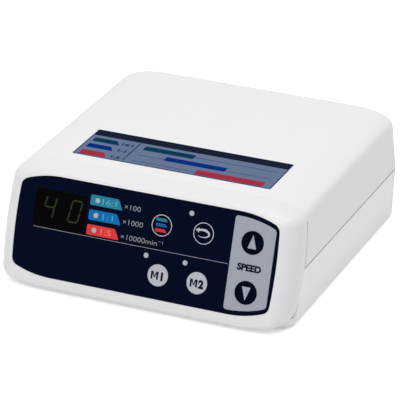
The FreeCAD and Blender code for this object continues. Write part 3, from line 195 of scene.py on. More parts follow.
def make_brushed_group():
    """Fine parallel scratches of turned or drawn metal, as a height."""
    group, given, result = new_group(
        "brushed",
        [("Position", "NodeSocketVector", None), ("Scale", "NodeSocketFloat", 900.0),
         ("Stretch", "NodeSocketFloat", 14.0)],
        [("Height", "NodeSocketFloat")])
    nodes, links = group.nodes, group.links
    squeeze = nodes.new("ShaderNodeCombineXYZ")
    squeeze.inputs[0].default_value = 1.0
    squeeze.inputs[2].default_value = 1.0
    links.new(given.outputs["Stretch"], squeeze.inputs[1])
    along = nodes.new("ShaderNodeVectorMath")
    along.operation = "MULTIPLY"
    links.new(given.outputs["Position"], along.inputs[0])
    links.new(squeeze.outputs[0], along.inputs[1])
    lines = nodes.new("ShaderNodeTexNoise")
    lines.inputs["Detail"].default_value = 2.0
    links.new(along.outputs[0], lines.inputs["Vector"])
    links.new(given.outputs["Scale"], lines.inputs["Scale"])
    links.new(lines.outputs["Fac"], result.inputs["Height"])
    return group


MOTTLE, GRAIN, BRUSHED = make_mottle_group(), make_grain_group(), make_brushed_group()


def place_group(material, group, position, **values):
    node = material.node_tree.nodes.new("ShaderNodeGroup")
    node.node_tree = group
    material.node_tree.links.new(position, node.inputs["Position"])
    for label, value in values.items():
        node.inputs[label.replace("_", " ")].default_value = value
    return node


# Finishes

GLOSS_SPREAD = 0.06
BUMP_STRENGTH = 0.6


def finish(name, colour, roughness, spread=0.04, scale=40.0, grain=1800.0, depth=0.01, metallic=0.0,
           specular=0.5, coat=0.0, brushed=False):
    """Material of one finish: mottled colour and gloss, and grain or brush lines as bump, depth in mm."""
    material = bpy.data.materials.new(name)
    material.use_nodes = True
    nodes, links = material.node_tree.nodes, material.node_tree.links
    shader = nodes["Principled BSDF"]
    position = nodes.new("ShaderNodeTexCoord").outputs["Object"]
    mottle = place_group(material, MOTTLE, position, Base=colour, Spread=spread, Scale=scale,
                         Roughness=roughness, Roughness_Spread=GLOSS_SPREAD)
    links.new(mottle.outputs["Color"], shader.inputs["Base Color"])
    links.new(mottle.outputs["Roughness"], shader.inputs["Roughness"])
    relief = place_group(material, BRUSHED if brushed else GRAIN, position, Scale=grain)
    bump = nodes.new("ShaderNodeBump")
    bump.inputs["Strength"].default_value = BUMP_STRENGTH
    bump.inputs["Distance"].default_value = depth * MM
    links.new(relief.outputs["Height"], bump.inputs["Height"])
    links.new(bump.outputs["Normal"], shader.inputs["Normal"])
    shader.inputs["Metallic"].default_value = metallic
    shader.inputs["Specular IOR Level"].default_value = specular
    shader.inputs["Coat Weight"].default_value = coat
    return material


FINISH_VALUES = {
    "cover_plastic": dict(colour=WHITE_COVER, roughness=0.46, spread=0.015, depth=0.02, grain=2200),
    # painted light: the upper cover's plastic, lighter for the floor's bounce
    "lower_cover": dict(colour=WHITE_LOWER_PAINTED_LIGHTER, roughness=0.46, spread=0.015, depth=0.02, grain=2200),
    "bezel_plastic": dict(colour=WHITE_BEZEL, roughness=0.36, spread=0.012, depth=0.006, grain=2600),
    "panel_film": dict(colour=NAVY, roughness=0.42, spread=0.25, scale=90, depth=0.004, grain=3600,
                       specular=0.02),
    "window_glass": dict(colour=(0.0020, 0.0019, 0.0019, 1), roughness=0.16, spread=0.2, depth=0.0005,
                         specular=0.01),
    "label_film": dict(colour=(0.104, 0.147, 0.260, 1), roughness=0.38, spread=0.05, depth=0.003,
                       grain=3200, specular=0.05),
    "foot_rubber": dict(colour=(0.02, 0.02, 0.022, 1), roughness=0.75, spread=0.3, scale=300, depth=0.05,
                        specular=0.3),
    "screw_steel": dict(colour=(0.55, 0.56, 0.58, 1), roughness=0.32, metallic=1, brushed=True, depth=0.004),
    "lamp_plastic": dict(colour=(0.40, 0.42, 0.47, 1), roughness=0.25, spread=0.15, scale=900, depth=0.01,
                         coat=0.3),
    "board_green": dict(colour=(0.01, 0.10, 0.04, 1), roughness=0.35, spread=0.25, scale=200, depth=0.01),
    "black_plastic": dict(colour=(0.012, 0.012, 0.014, 1), roughness=0.45, spread=0.2, depth=0.015),
    "ribbon_grey": dict(colour=(0.27, 0.28, 0.30, 1), roughness=0.5, spread=0.1, depth=0.02),
    "sink_aluminium": dict(colour=(0.62, 0.64, 0.66, 1), roughness=0.38, metallic=1, brushed=True,
                           depth=0.006),
    "can_sleeve": dict(colour=(0.01, 0.02, 0.06, 1), roughness=0.3, spread=0.2, depth=0.01),
    "ferrite": dict(colour=(0.03, 0.03, 0.033, 1), roughness=0.6, spread=0.3, scale=400, depth=0.03),
    "sensor_plastic": dict(colour=(0.62, 0.62, 0.56, 1), roughness=0.5, depth=0.015),
    "hose_silicone": dict(colour=(0.66, 0.69, 0.69, 1), roughness=0.35, depth=0.01),
    "rear_plate": dict(colour=(0.52, 0.53, 0.54, 1), roughness=0.48, spread=0.05, scale=120, depth=0.03,
                       grain=1500),
    "socket_metal": dict(colour=(0.66, 0.66, 0.65, 1), roughness=0.24, metallic=1, brushed=True, depth=0.003),
    "contact_brass": dict(colour=(0.80, 0.58, 0.24, 1), roughness=0.26, metallic=1, brushed=True,
                          depth=0.003),
    "key_grey": dict(colour=(0.46, 0.48, 0.54, 1), roughness=0.40, spread=0.05, scale=260, depth=0.004,
                     grain=3600),
    "key_navy": dict(colour=NAVY, roughness=0.40, spread=0.25, scale=90, depth=0.004, grain=3600,
                     specular=0.02),
    "key_dark": dict(colour=(0.0012, 0.0030, 0.011, 1), roughness=0.40, spread=0.25, scale=90, depth=0.004,
                     grain=3600, specular=0.01)}
FINISHES = {name: finish(name, **values) for name, values in FINISH_VALUES.items()}


# The CAD's own nodes

def smooth_by_angle(node):
    """Sets a CAD node's shading normals smooth across faces that meet under the smoothing angle."""
    mesh = node.data
    count = len(mesh.loops)
    corners = np.empty(count, dtype=np.int32)
    mesh.loops.foreach_get("vertex_index", corners)
    places = np.empty(len(mesh.vertices) * 3)
    mesh.vertices.foreach_get("co", places)
    places = places.reshape(-1, 3)
    _, spot = np.unique(np.round(places * MICRONS).astype(np.int64), axis=0, return_inverse=True)
    spot = spot.reshape(-1)[corners]
    triangles = places[corners.reshape(-1, 3)]
    cross = np.cross(triangles[:, 1] - triangles[:, 0], triangles[:, 2] - triangles[:, 0])
    area = np.linalg.norm(cross, axis=1)
    facing = cross / np.maximum(area, 1e-18)[:, None]
    edges = triangles[:, [1, 2, 0]] - triangles
    edges /= np.maximum(np.linalg.norm(edges, axis=2), 1e-12)[:, :, None]
    turn = np.arccos(np.clip(-(edges * edges[:, [2, 0, 1]]).sum(axis=2), -1, 1))
    weight = turn.reshape(-1)
    face_of = np.repeat(np.arange(count // 3), 3)
    order = np.argsort(spot, kind="stable")
    starts = np.flatnonzero(np.r_[True, np.diff(spot[order]) > 0, True])
    normals = np.empty((count, 3))
    limit = math.cos(SMOOTH_ANGLE)
    for first, last in zip(starts[:-1], starts[1:]):
        loops = order[first:last]
        faces = facing[face_of[loops]]
        near = (faces @ faces.T) > limit
        normals[loops] = near @ (faces * weight[loops][:, None])
    normals /= np.maximum(np.linalg.norm(normals, axis=1), 1e-12)[:, None]
    mesh.shade_smooth()
    mesh.normals_split_custom_set(normals.tolist())


def dress_nodes():
    slots = {part["node"]: part["material_slot"] for part in frame["record"]["subparts"]}
    for name, node in frame["nodes"].items():
        node.data.materials.clear()
        node.data.materials.append(FINISHES.get(name, FINISHES[slots[name]]))
        smooth_by_angle(node)


dress_nodes()


# The front's own plane: x to the right, s up the slope

PRESS = next(joint for joint in frame["joints"] if joint["name"] == "press_m1")
OUTWARD = -Vector(PRESS["axis"]).normalized()
UPWARD = Vector((0, OUTWARD.z, -OUTWARD.y))
ACROSS = Vector((1, 0, 0))


def spots(name):
    return [vertex.co for vertex in frame["nodes"][name].data.vertices]


FILM_FACE = max(spot.dot(OUTWARD) for spot in spots("membrane_sheet"))
KEY_FACE = max(spot.dot(OUTWARD) for spot in spots("key_m1"))
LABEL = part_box("top_label")
LABEL_FACE = LABEL[1][2]


def spread_of(places):
    """Lowest and highest x and s of points."""
    across = [place.x for place in places]
    up = [place.dot(UPWARD) for place in places]
    return min(across), max(across), min(up), max(up)


def middle_of(places):
    left, right, low, high = spread_of(places)
    return (left + right) / 2, (low + high) / 2


def front_matrix(x, s, face):
    """Places a flat shape drawn about the origin onto the front."""
    turned = Matrix((ACROSS, UPWARD, OUTWARD)).transposed().to_4x4()
    place = ACROSS * x + UPWARD * s + OUTWARD * face
    return Matrix.Translation(place) @ turned


FACE_SLACK = 0.1 * MM           # points this near the film's face count as on it
PANEL_RIGHT, PANEL_LOW, PANEL_HIGH = spread_of(spots("membrane_sheet"))[1:]
WINDOW_LEFT, WINDOW_RIGHT, WINDOW_LOW, WINDOW_HIGH = spread_of(
    [spot for spot in spots("display_window") if spot.dot(OUTWARD) > FILM_FACE - FACE_SLACK])
KEYS = {name: middle_of(spots(name)) for name in frame["nodes"]
        if name.startswith("key_") and name in frame["bodies"]}
LOW_ROW, HIGH_ROW = KEYS["key_m1"][1], KEYS["key_ratio"][1]


# Prints: thin flat pieces just above the film, key or label that carries them

PRINT_LIFT = 0.03 * MM          # top of the ink over its film
PRINT_THICKNESS = 0.02 * MM
CORNER_STEPS = 6
RING_STEPS = 72
HOLE_STEPS = 48
CAPITAL_HEIGHT = 0.729          # capitals of Blender's own font at size 1


def finished(name, mesh, material, body):
    """Places a new piece in the scene, in its material, on its body."""
    piece = add_object(name, mesh)
    mesh.materials.clear()
    mesh.materials.append(material)
    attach(piece, body)


def print_from(shape, matrix, name, material, body="casing"):
    """Gives a flat bmesh its thickness of ink and sets it in place."""
    bmesh.ops.remove_doubles(shape, verts=shape.verts, dist=WELD)
    bmesh.ops.recalc_face_normals(shape, faces=shape.faces)
    if shape.faces and sum(face.normal.z * face.calc_area() for face in shape.faces) < 0:
        bmesh.ops.reverse_faces(shape, faces=shape.faces)
    raised = bmesh.ops.extrude_face_region(shape, geom=shape.faces[:])
    top = [item for item in raised["geom"] if isinstance(item, bmesh.types.BMVert)]
    bmesh.ops.translate(shape, verts=top, vec=(0, 0, PRINT_THICKNESS))
    bmesh.ops.translate(shape, verts=shape.verts, vec=(0, 0, PRINT_LIFT - PRINT_THICKNESS))
    bmesh.ops.recalc_face_normals(shape, faces=shape.faces)
    bmesh.ops.transform(shape, matrix=matrix, verts=shape.verts)
    finished(name, mesh_from(shape, name), material, body)


def polygon(points):
    shape = bmesh.new()
    shape.faces.new([shape.verts.new((x, y, 0)) for x, y in points])
    return shape


def rounded(points, radius, only=None):
    """Polygon with rounded corners, all of them or those of the given numbers."""
    shape = polygon(points)
    shape.verts.ensure_lookup_table()
    corners = [shape.verts[number] for number in (only or range(len(points)))]
    bmesh.ops.bevel(shape, geom=corners, offset=radius, segments=CORNER_STEPS, profile=0.5,
                    affect="VERTICES", material=-1)
    return shape


def flat_ring(radius, width):
    shape = bmesh.new()
    for size in (radius, radius - width):
        bmesh.ops.create_circle(shape, radius=size, segments=RING_STEPS)
    bmesh.ops.bridge_loops(shape, edges=shape.edges[:])
    return shape


def lettering(text, height, width, weight=0.0):
    """Words as a flat bmesh about the origin, fitted to a height of capitals and a width.

    The weight thickens the strokes, as a share of the font's size, or thins them below zero.
    """
    curve = bpy.data.curves.new("words", "FONT")
    curve.body = text
    curve.offset = weight
    curve.resolution_u = 4
    words = add_object("words", curve)
    bpy.context.view_layer.update()
    mesh = bpy.data.meshes.new_from_object(words.evaluated_get(bpy.context.evaluated_depsgraph_get()))
    bpy.data.objects.remove(words)
    bpy.data.curves.remove(curve)
    shape = bmesh.new()
    shape.from_mesh(mesh)
    bpy.data.meshes.remove(mesh)
    places = [vertex.co.x for vertex in shape.verts]
    left, right = min(places), max(places)
    bmesh.ops.translate(shape, verts=shape.verts, vec=(-(left + right) / 2, -CAPITAL_HEIGHT / 2, 0))
    bmesh.ops.scale(shape, verts=shape.verts, vec=(width / (right - left), height / CAPITAL_HEIGHT, 1))
    return shape


M_DIP = -0.36                   # heights in the letter M, as shares of its own
M_NOTCH = -0.06
M_SHOULDER = 0.20
M_CREST = 1.25                  # width of each crest, in strokes


def capital_m(height, width, stroke):
    """The letter M as a flat bmesh centred on the origin."""
    half, top = width / 2, height / 2
    inner, crest = half - stroke, half - M_CREST * stroke
    dip, notch, shoulder = M_DIP * height, M_NOTCH * height, M_SHOULDER * height
    right = [(half, -top), (half, top), (crest, top)]
    left = [(-x, y) for x, y in reversed(right)]
    under = [(-inner, -top), (-inner, shoulder), (0, dip), (inner, shoulder), (inner, -top)]
    return polygon(right + [(0, notch)] + left + under)


INK_SHINE = 0.08


def ink(name, colour):
    """Printed ink, and the painted shadow of the casing's joints; the label's inks and the dark one are matt,
    so that no sky shows in them.
    """
    shine = 0.0 if name.startswith("ink_label") or name == "ink_dark" else INK_SHINE
    return finish(name, colour, 0.42, spread=0.08, scale=500, depth=0.002, grain=4000, specular=shine)


INK_AND_PAINTED_SHADE = {name: ink("ink_" + name, colour) for name, colour in PRINT_AND_PAINTED_SHADE.items()}


COLUMN_SLACK = 1.0 * MM         # lamps this near the left one stand in its column


def solids_of(name):
    """Points of each separate solid of a node."""
    shape = bmesh.new()
    shape.from_mesh(frame["nodes"][name].data)
    bmesh.ops.remove_doubles(shape, verts=shape.verts, dist=CAD_WELD)
    left, groups = set(shape.verts), []
    while left:
        stack, group = [left.pop()], []
        while stack:
            vertex = stack.pop()
            group.append(vertex.co.copy())
            for edge in vertex.link_edges:
                other = edge.other_vert(vertex)
                if other in left:
                    left.remove(other)
                    stack.append(other)
        groups.append(group)
    shape.free()
    return groups


def lamp_rows():
    """Centres of the three lamps beside the display, from the top row down."""
    centres = [middle_of(group) for group in solids_of("lamp_lenses")]
    column = min(x for x, s in centres)
    return sorted([spot for spot in centres if spot[0] < column + COLUMN_SLACK], key=lambda spot: -spot[1])


def holed(shape, holes):
    """Cuts round holes, given as (x, y, radius), into a flat face."""
    bmesh.ops.delete(shape, geom=shape.faces[:], context="FACES_ONLY")
    for x, y, radius in holes:
        ring = bmesh.ops.create_circle(shape, radius=radius, segments=HOLE_STEPS)["verts"]
        bmesh.ops.translate(shape, verts=ring, vec=(x, y, 0))
    bmesh.ops.triangle_fill(shape, edges=shape.edges[:], use_beauty=True, normal=(0, 0, 1))
    return shape


def on_film(x, s):
    return front_matrix(x, s, FILM_FACE)


# Ratio chips beside the display, with their lamps and multipliers

LENS_HOLE = 1.25 * MM           # radius of the hole for the lamp
CHIP_LEFT = -3.65 * MM          # from the lamp's centre
CHIP_TOP_RIGHT = 10.5 * MM
CHIP_LOW_RIGHT = 12.9 * MM
CHIP_HALF = 2.42 * MM
CHIP_ROUND = 0.7 * MM
FIGURES_HEIGHT = 2.8 * MM
FIGURES_MIDDLE = 6.1 * MM
FIGURE_WIDTHS = (7.2 * MM, 5.3 * MM, 5.3 * MM)
FACTOR_LEFT = 13.8 * MM
FACTOR_WIDTHS = (8.1 * MM, 10.2 * MM, 12.2 * MM)
FACTOR_HEIGHT = 2.6 * MM
FACTOR_RISE = -0.3 * MM
UNIT_LEFT = 26.4 * MM
UNIT_WIDTH = 8.6 * MM
THIN = -0.008                   # slimmer strokes


def make_ratio_chips():
    rows = zip(lamp_rows(), ("teal", "blue", "red"), ("16:1", "1:1", "1:5"), FIGURE_WIDTHS,
               ("\u00d7100", "\u00d71000", "\u00d710000"), FACTOR_WIDTHS)
    for (x, s), colour, ratio, figure_width, factor, factor_width in rows:
        outline = [(CHIP_LEFT, -CHIP_HALF), (CHIP_LOW_RIGHT, -CHIP_HALF), (CHIP_TOP_RIGHT, CHIP_HALF),
                   (CHIP_LEFT, CHIP_HALF)]
        chip = holed(rounded(outline, CHIP_ROUND), [(0, 0, LENS_HOLE)])
        print_from(chip, on_film(x, s), "ratio_chip_" + colour, INK_AND_PAINTED_SHADE[colour])
        words = lettering(ratio, FIGURES_HEIGHT, figure_width)
        place = front_matrix(x + FIGURES_MIDDLE, s, FILM_FACE + PRINT_THICKNESS)
        print_from(words, place, "ratio_figures_" + colour, INK_AND_PAINTED_SHADE[colour + "_light"])
        words = lettering(factor, FACTOR_HEIGHT, factor_width, THIN)
        middle = x + FACTOR_LEFT + factor_width / 2
        print_from(words, on_film(middle, s + FACTOR_RISE), "multiplier_" + colour, INK_AND_PAINTED_SHADE["factor"])
    unit = lettering("min\u207b\u00b9", FACTOR_HEIGHT, UNIT_WIDTH, THIN)
    middle = x + UNIT_LEFT + UNIT_WIDTH / 2
    print_from(unit, on_film(middle, s + FACTOR_RISE), "speed_unit", INK_AND_PAINTED_SHADE["factor"])


make_ratio_chips()


# Seven-segment figures of the display

DIGIT_HEIGHT = 10.2 * MM
DIGIT_WIDTH = 5.0 * MM
DIGIT_BAR = 0.8 * MM
DIGIT_LEAN = 0.17
DIGIT_PITCH = 13.1 * MM
DIGIT_GAP = 0.35                # a bar is shorter than its side by this share of its width
DIGITS_RIGHT = 1.15 * MM        # the pair of figures from the window's middle
DIGITS_UP = 0.9 * MM
SHOWN = "40"
SEGMENTS = {"4": "bcfg", "0": "abcdef"}


def segment_spots():
    """Centre of each bar of a figure drawn about the origin, and whether it stands upright."""
    half, side = DIGIT_HEIGHT / 2, DIGIT_WIDTH / 2
    return {"a": (0, half, False), "g": (0, 0, False), "d": (0, -half, False), "b": (side, half / 2, True),
            "c": (side, -half / 2, True), "f": (-side, half / 2, True), "e": (-side, -half / 2, True)}


def segment_bar(x, y, upright):
    length = (DIGIT_HEIGHT / 2 if upright else DIGIT_WIDTH) - DIGIT_BAR * DIGIT_GAP
    half, tip = length / 2, DIGIT_BAR / 2
    bar = polygon([(-half, 0), (-half + tip, -tip), (half - tip, -tip), (half, 0), (half - tip, tip),
                   (-half + tip, tip)])
    if upright:
        bmesh.ops.rotate(bar, verts=bar.verts, matrix=Matrix.Rotation(math.pi / 2, 3, "Z"))
    bmesh.ops.translate(bar, verts=bar.verts, vec=(x, y, 0))
    for vertex in bar.verts:
        vertex.co.x += vertex.co.y * DIGIT_LEAN
    return bar


def make_digits():
    middle_x = (WINDOW_LEFT + WINDOW_RIGHT) / 2 + DIGITS_RIGHT
    middle_s = (WINDOW_LOW + WINDOW_HIGH) / 2 + DIGITS_UP
    for number, figure in enumerate(SHOWN):
        x = middle_x + (number - (len(SHOWN) - 1) / 2) * DIGIT_PITCH
        for letter in SEGMENTS[figure]:
            spot = segment_spots()[letter]
            name = "digit_%d_%s" % (number + 1, letter)
            print_from(segment_bar(*spot), on_film(x, middle_s), name, INK_AND_PAINTED_SHADE["segment"])


make_digits()


# Marks of the keys

RING_OUTER = 5.05 * MM
RING_WIDTH = 0.36 * MM
MARK_HEIGHT = 3.7 * MM          # letters and figures of the memory keys
LETTER_WIDTH = 3.7 * MM
LETTER_STROKE = 0.92 * MM
LETTER_LEFT = -1.55 * MM        # from the key's centre
FIGURE_RIGHT = 2.1 * MM
MARK_UP = -0.2 * MM
FIGURE_WEIGHT = 0.06
MEMORY_FIGURES = {"key_m1": ("1", 1.05 * MM), "key_m2": ("2", 2.7 * MM)}
BAR_PITCH = 2.5 * MM            # chips on the ratio key
BAR_HALF = 0.75 * MM
BAR_ROUND = 0.3 * MM
BAR_LEFT = -3.0 * MM
BAR_LOW_RIGHT = 2.75 * MM
BAR_TOP_RIGHT = 1.8 * MM
BARS_UP = 0.1 * MM
TURN_BAND = [                   # reversing arrow, in millimetres: spots and half widths
    (-2.3, 1.30, 0.40), (-0.8, 1.55, 0.50), (0.9, 1.45, 0.55), (2.3, 0.75, 0.50), (2.75, -0.35, 0.42),
    (1.9, -1.35, 0.32), (0.3, -1.80, 0.22), (-1.4, -1.75, 0.14), (-2.7, -1.20, 0.06)]
TURN_STEPS = 6
TURN_HEAD = ((-4.1, 1.15), (-2.25, 0.15), (-2.25, 2.45))
ARROW_TIP = 3.6 * MM            # speed marks, from the key's centre
ARROW_BASE = -2.75 * MM
ARROW_HALF = 2.15 * MM
ARROW_ROUND = 0.12 * MM


def on_key(name):
    return front_matrix(KEYS[name][0], KEYS[name][1], KEY_FACE)


def make_key_rings():
    for name in ("key_ratio", "key_reverse"):
        print_from(flat_ring(RING_OUTER, RING_WIDTH), on_key(name), name + "_ring", INK_AND_PAINTED_SHADE["light"], name)


def make_ratio_bars():
    """Small chips on the ratio key, one of each colour."""
    for number, colour in enumerate(("teal", "blue", "red")):
        y = BAR_PITCH * (1 - number) + BARS_UP
        low, high = y - BAR_HALF, y + BAR_HALF
        outline = [(BAR_LEFT, low), (BAR_LOW_RIGHT, low), (BAR_TOP_RIGHT, high), (BAR_LEFT, high)]
        print_from(rounded(outline, BAR_ROUND), on_key("key_ratio"), "ratio_bar_" + colour,
                   INK_AND_PAINTED_SHADE["key_" + colour], "key_ratio")


def curve_through(points, steps):
    """Smooth run of points through given ones, each with its own half width as a third value."""
    run = []
    ends = [points[0]] + points + [points[-1]]
    for a, b, c, d in zip(ends, ends[1:], ends[2:], ends[3:]):
        for number in range(steps):
            t = number / steps
            run.append(tuple(0.5 * (2 * q + (r - p) * t + (2 * p - 5 * q + 4 * r - w) * t ** 2
                                    + (3 * q - p - 3 * r + w) * t ** 3) for p, q, r, w in zip(a, b, c, d)))
    return run + [points[-1]]


def make_reverse_arrow():
    """Arrow that turns back on itself: a band that thins to its tail, and a head."""
    run = curve_through(TURN_BAND, TURN_STEPS)
    shape = bmesh.new()
    rails = []
    for (x, y, half), before, after in zip(run, [run[0]] + run[:-1], run[1:] + [run[-1]]):
        along = Vector((after[0] - before[0], after[1] - before[1], 0)).normalized()
        aside = Vector((-along.y, along.x, 0)) * half * MM
        centre = Vector((x, y, 0)) * MM
        rails.append((shape.verts.new(centre - aside), shape.verts.new(centre + aside)))
    for (a, b), (c, d) in zip(rails, rails[1:]):
        shape.faces.new((a, b, d, c))
    shape.faces.new([shape.verts.new(Vector((x, y, 0)) * MM) for x, y in TURN_HEAD])
    print_from(shape, on_key("key_reverse"), "reverse_arrow", INK_AND_PAINTED_SHADE["light"], "key_reverse")


def make_memory_marks():
    for name, (figure, width) in MEMORY_FIGURES.items():
        column, row = KEYS[name]
        letter = capital_m(MARK_HEIGHT, LETTER_WIDTH, LETTER_STROKE)
        print_from(letter, front_matrix(column + LETTER_LEFT, row + MARK_UP, KEY_FACE), name + "_letter",
                   INK_AND_PAINTED_SHADE["dark"], name)
        words = lettering(figure, MARK_HEIGHT, width, FIGURE_WEIGHT)
        print_from(words, front_matrix(column + FIGURE_RIGHT, row + MARK_UP, KEY_FACE), name + "_figure",
                   INK_AND_PAINTED_SHADE["dark"], name)


def make_speed_marks():
    for name, flip in (("key_up", 1), ("key_down", -1)):
        tip, base = ARROW_TIP * flip, ARROW_BASE * flip
        mark = rounded([(-ARROW_HALF, base), (ARROW_HALF, base), (0, tip)], ARROW_ROUND)
        print_from(mark, on_key(name), name + "_mark", INK_AND_PAINTED_SHADE["silver"], name)


make_key_rings()
make_ratio_bars()
make_reverse_arrow()
make_memory_marks()
make_speed_marks()


# Silver speed field and the line between the two rows

CROWN_RADIUS = 49.0 * MM
CROWN_FLAT = 45.0 * MM
FIELD_LEFT = 43.0 * MM
FIELD_INSET = 2.1 * MM
FIELD_ROUND = 1.4 * MM
FIELD_STEPS = 5                 # along each crowned edge
KEY_DEPTH = 0.5 * MM            # the key's points this far under its face show its radius
KEY_RIM = 0.1 * MM
WORD_HEIGHT = 3.0 * MM
WORD_WIDTH = 11.8 * MM
WORD_WEIGHT = 0.05
RULE_HALF = 0.09 * MM
RULE_FROM_WINDOW = 0.7 * MM     # the rule starts this far inside the window's left edge
RULE_TO_FIELD = 0.8 * MM


def crown_drop(x):
    return CROWN_RADIUS - math.sqrt(CROWN_RADIUS ** 2 - max(0.0, x - CROWN_FLAT) ** 2)


def make_speed_field():
    right, low, high = PANEL_RIGHT - FIELD_INSET, PANEL_LOW + FIELD_INSET, PANEL_HIGH - FIELD_INSET
    stops = [FIELD_LEFT + (right - FIELD_LEFT) * number / FIELD_STEPS for number in range(FIELD_STEPS + 1)]
    points = [(x, low + crown_drop(x)) for x in stops] + [(x, high - crown_drop(x)) for x in reversed(stops)]
    x = KEYS["key_up"][0]
    rim = [spot.x for spot in spots("key_up") if spot.dot(OUTWARD) > KEY_FACE - KEY_DEPTH]
    radius = max(rim) - x + KEY_RIM
    field = rounded(points, FIELD_ROUND, only=(0, FIELD_STEPS, FIELD_STEPS + 1, 2 * FIELD_STEPS + 1))
    field = holed(field, [(*KEYS[name], radius) for name in ("key_up", "key_down")])
    print_from(field, on_film(0, 0), "speed_field", INK_AND_PAINTED_SHADE["silver"])
    words = lettering("SPEED", WORD_HEIGHT, WORD_WIDTH, WORD_WEIGHT)
    print_from(words, front_matrix(x, (LOW_ROW + HIGH_ROW) / 2, FILM_FACE + PRINT_THICKNESS), "speed_word",
               INK_AND_PAINTED_SHADE["dark"])


def make_rule():
    s = (LOW_ROW + HIGH_ROW) / 2
    left, right = WINDOW_LEFT + RULE_FROM_WINDOW, FIELD_LEFT - RULE_TO_FIELD
    low, high = s - RULE_HALF, s + RULE_HALF
    line = polygon([(left, low), (right, low), (right, high), (left, high)])
    print_from(line, on_film(0, 0), "panel_rule", INK_AND_PAINTED_SHADE["rule"])


make_speed_field()
make_rule()


# Printed chart on the top label: places in millimetres from its own front left corner

LABEL_HEADER = (0.35, 100.45, 23.4, 29.65)      # left, right, front and rear of each patch
LABEL_HEADER_ROUND = 1.0
LABEL_COLUMN_RULE = (25.0, 25.5, 1.4, 22.6)
LABEL_EDGES = {"front": (0.3, 100.5, 0.1, 0.45), "left": (0.1, 0.5, 0.6, 23.0),
               "right": (100.3, 100.7, 0.6, 23.0)}
LABEL_CHIP = (2.7, 14.1)
LABEL_CHIP_SLANT = 2.6
LABEL_CHIP_ROUND = 0.6
LABEL_BAR_ROUND = 0.3
LABEL_LINE = (29.1, 96.6)
LABEL_LINE_HALF = 0.16
LABEL_FIGURE_HEIGHT = 2.6
LABEL_FIGURE_WEIGHT = 0.025
# Colour, front and rear, ends of the bar, place of the line, figures and their ends
LABEL_ROWS = (
    ("label_teal", 16.3, 20.7, 29.1, 54.9, 18.5, "16:1", 17.7, 23.3),
    ("label_blue", 9.1, 13.4, 43.0, 74.0, 10.2, "1:1", 18.7, 22.7),
    ("label_red", 0.9, 5.9, 62.0, 96.2, 3.2, "1:5", 18.7, 23.1))


def on_label(lift=0.0):
    return Matrix.Translation((LABEL[0][0], LABEL[0][1], LABEL_FACE + lift))


def label_patch(name, left, right, low, high, colour, slant=0.0, corner=0.0, layer=0):
    """Patch of ink on the label; the slant leans its right end, and a higher layer lies over others."""
    outline = [(left, low), (right + slant, low), (right, high), (left, high)]
    outline = [(x * MM, y * MM) for x, y in outline]
    shape = rounded(outline, corner * MM) if corner else polygon(outline)
    print_from(shape, on_label(layer * PRINT_THICKNESS), name, INK_AND_PAINTED_SHADE[colour])


def make_label_chart():
    """Header band, and for each ratio a chip, its figures, a bar and a thin line."""
    label_patch("label_header", *LABEL_HEADER, "label_dark", corner=LABEL_HEADER_ROUND)
    label_patch("label_column_rule", *LABEL_COLUMN_RULE, "label_dark")
    for side, edge in LABEL_EDGES.items():
        label_patch("label_edge_" + side, *edge, "label_edge")
    for number, (colour, low, high, start, end, line, text, left, right) in enumerate(LABEL_ROWS, 1):
        label_patch("label_line_%d" % number, *LABEL_LINE, line - LABEL_LINE_HALF, line + LABEL_LINE_HALF,
                    "label_grey")
        label_patch("label_bar_%d" % number, start, end, low, high, colour, corner=LABEL_BAR_ROUND, layer=1)
        label_patch("label_chip_%d" % number, *LABEL_CHIP, low, high, colour, slant=LABEL_CHIP_SLANT,
                    corner=LABEL_CHIP_ROUND)
        words = lettering(text, LABEL_FIGURE_HEIGHT * MM, (right - left) * MM, LABEL_FIGURE_WEIGHT)
        matrix = on_label() @ Matrix.Translation(((left + right) / 2 * MM, (low + high) / 2 * MM, 0))
        print_from(words, matrix, "label_ratio_%d" % number, INK_AND_PAINTED_SHADE["label_dark"])


make_label_chart()


# Painted shadow lines of the casing: dark strips standing in for the shade in the joints where the covers
# meet, and where they meet the bezel

PARTING_HEIGHT = 25.65 * MM
PARTING_HALF = 0.21 * MM        # half height of the shadow line
LINE_PROUD = 0.02 * MM
LINE_SINK = 0.05 * MM
CASING_SIDE = 74.0 * MM         # the covers' side walls at the parting line
REAR_CORNER = 8.5 * MM
REAR_STEPS = 10                 # round each rear corner
REAR_OPENING = 51.0 * MM        # half width of the rear window
SEAM_Y = -56.674 * MM           # the seam on the parting line
SEAM_LEAN_LOW = 0.40            # the seam's lean under and over the parting line
SEAM_LEAN_HIGH = 0.22
LOWER_DRAFT = 0.033
LOW_LINE_DROP = 21.0 * MM       # the lower line ends this far under the parting line
LOW_LINE_WIDTH = 0.2 * MM
HIGH_LINE_TOP = 47.8 * MM       # the upper line lies on the bezel's proud rear edge
HIGH_LINE_SIDE = 73.2 * MM      # the outer edge lies outside this, the wall's inner edge inside it
HIGH_LINE_WIDTH = 0.6 * MM
HIGH_LINE_PROUD = 0.01 * MM
HEIGHT_SLACK = 0.01 * MM        # points this near the parting line count as on it
SEAM_SLACK = 0.03 * MM          # and this near the seam's plane


def swept(name, sections, colour):
    """Closed bar through four-cornered sections, all listed the same way round."""
    shape = bmesh.new()
    loops = [[shape.verts.new(corner) for corner in section] for section in sections]
    for one, two in zip(loops, loops[1:]):
        for number in range(4):
            other = (number + 1) % 4
            shape.faces.new((one[number], one[other], two[other], two[number]))
    shape.faces.new(reversed(loops[0]))
    shape.faces.new(loops[-1])
    bmesh.ops.recalc_face_normals(shape, faces=shape.faces)
    finished(name, mesh_from(shape, name), INK_AND_PAINTED_SHADE[colour], "casing")


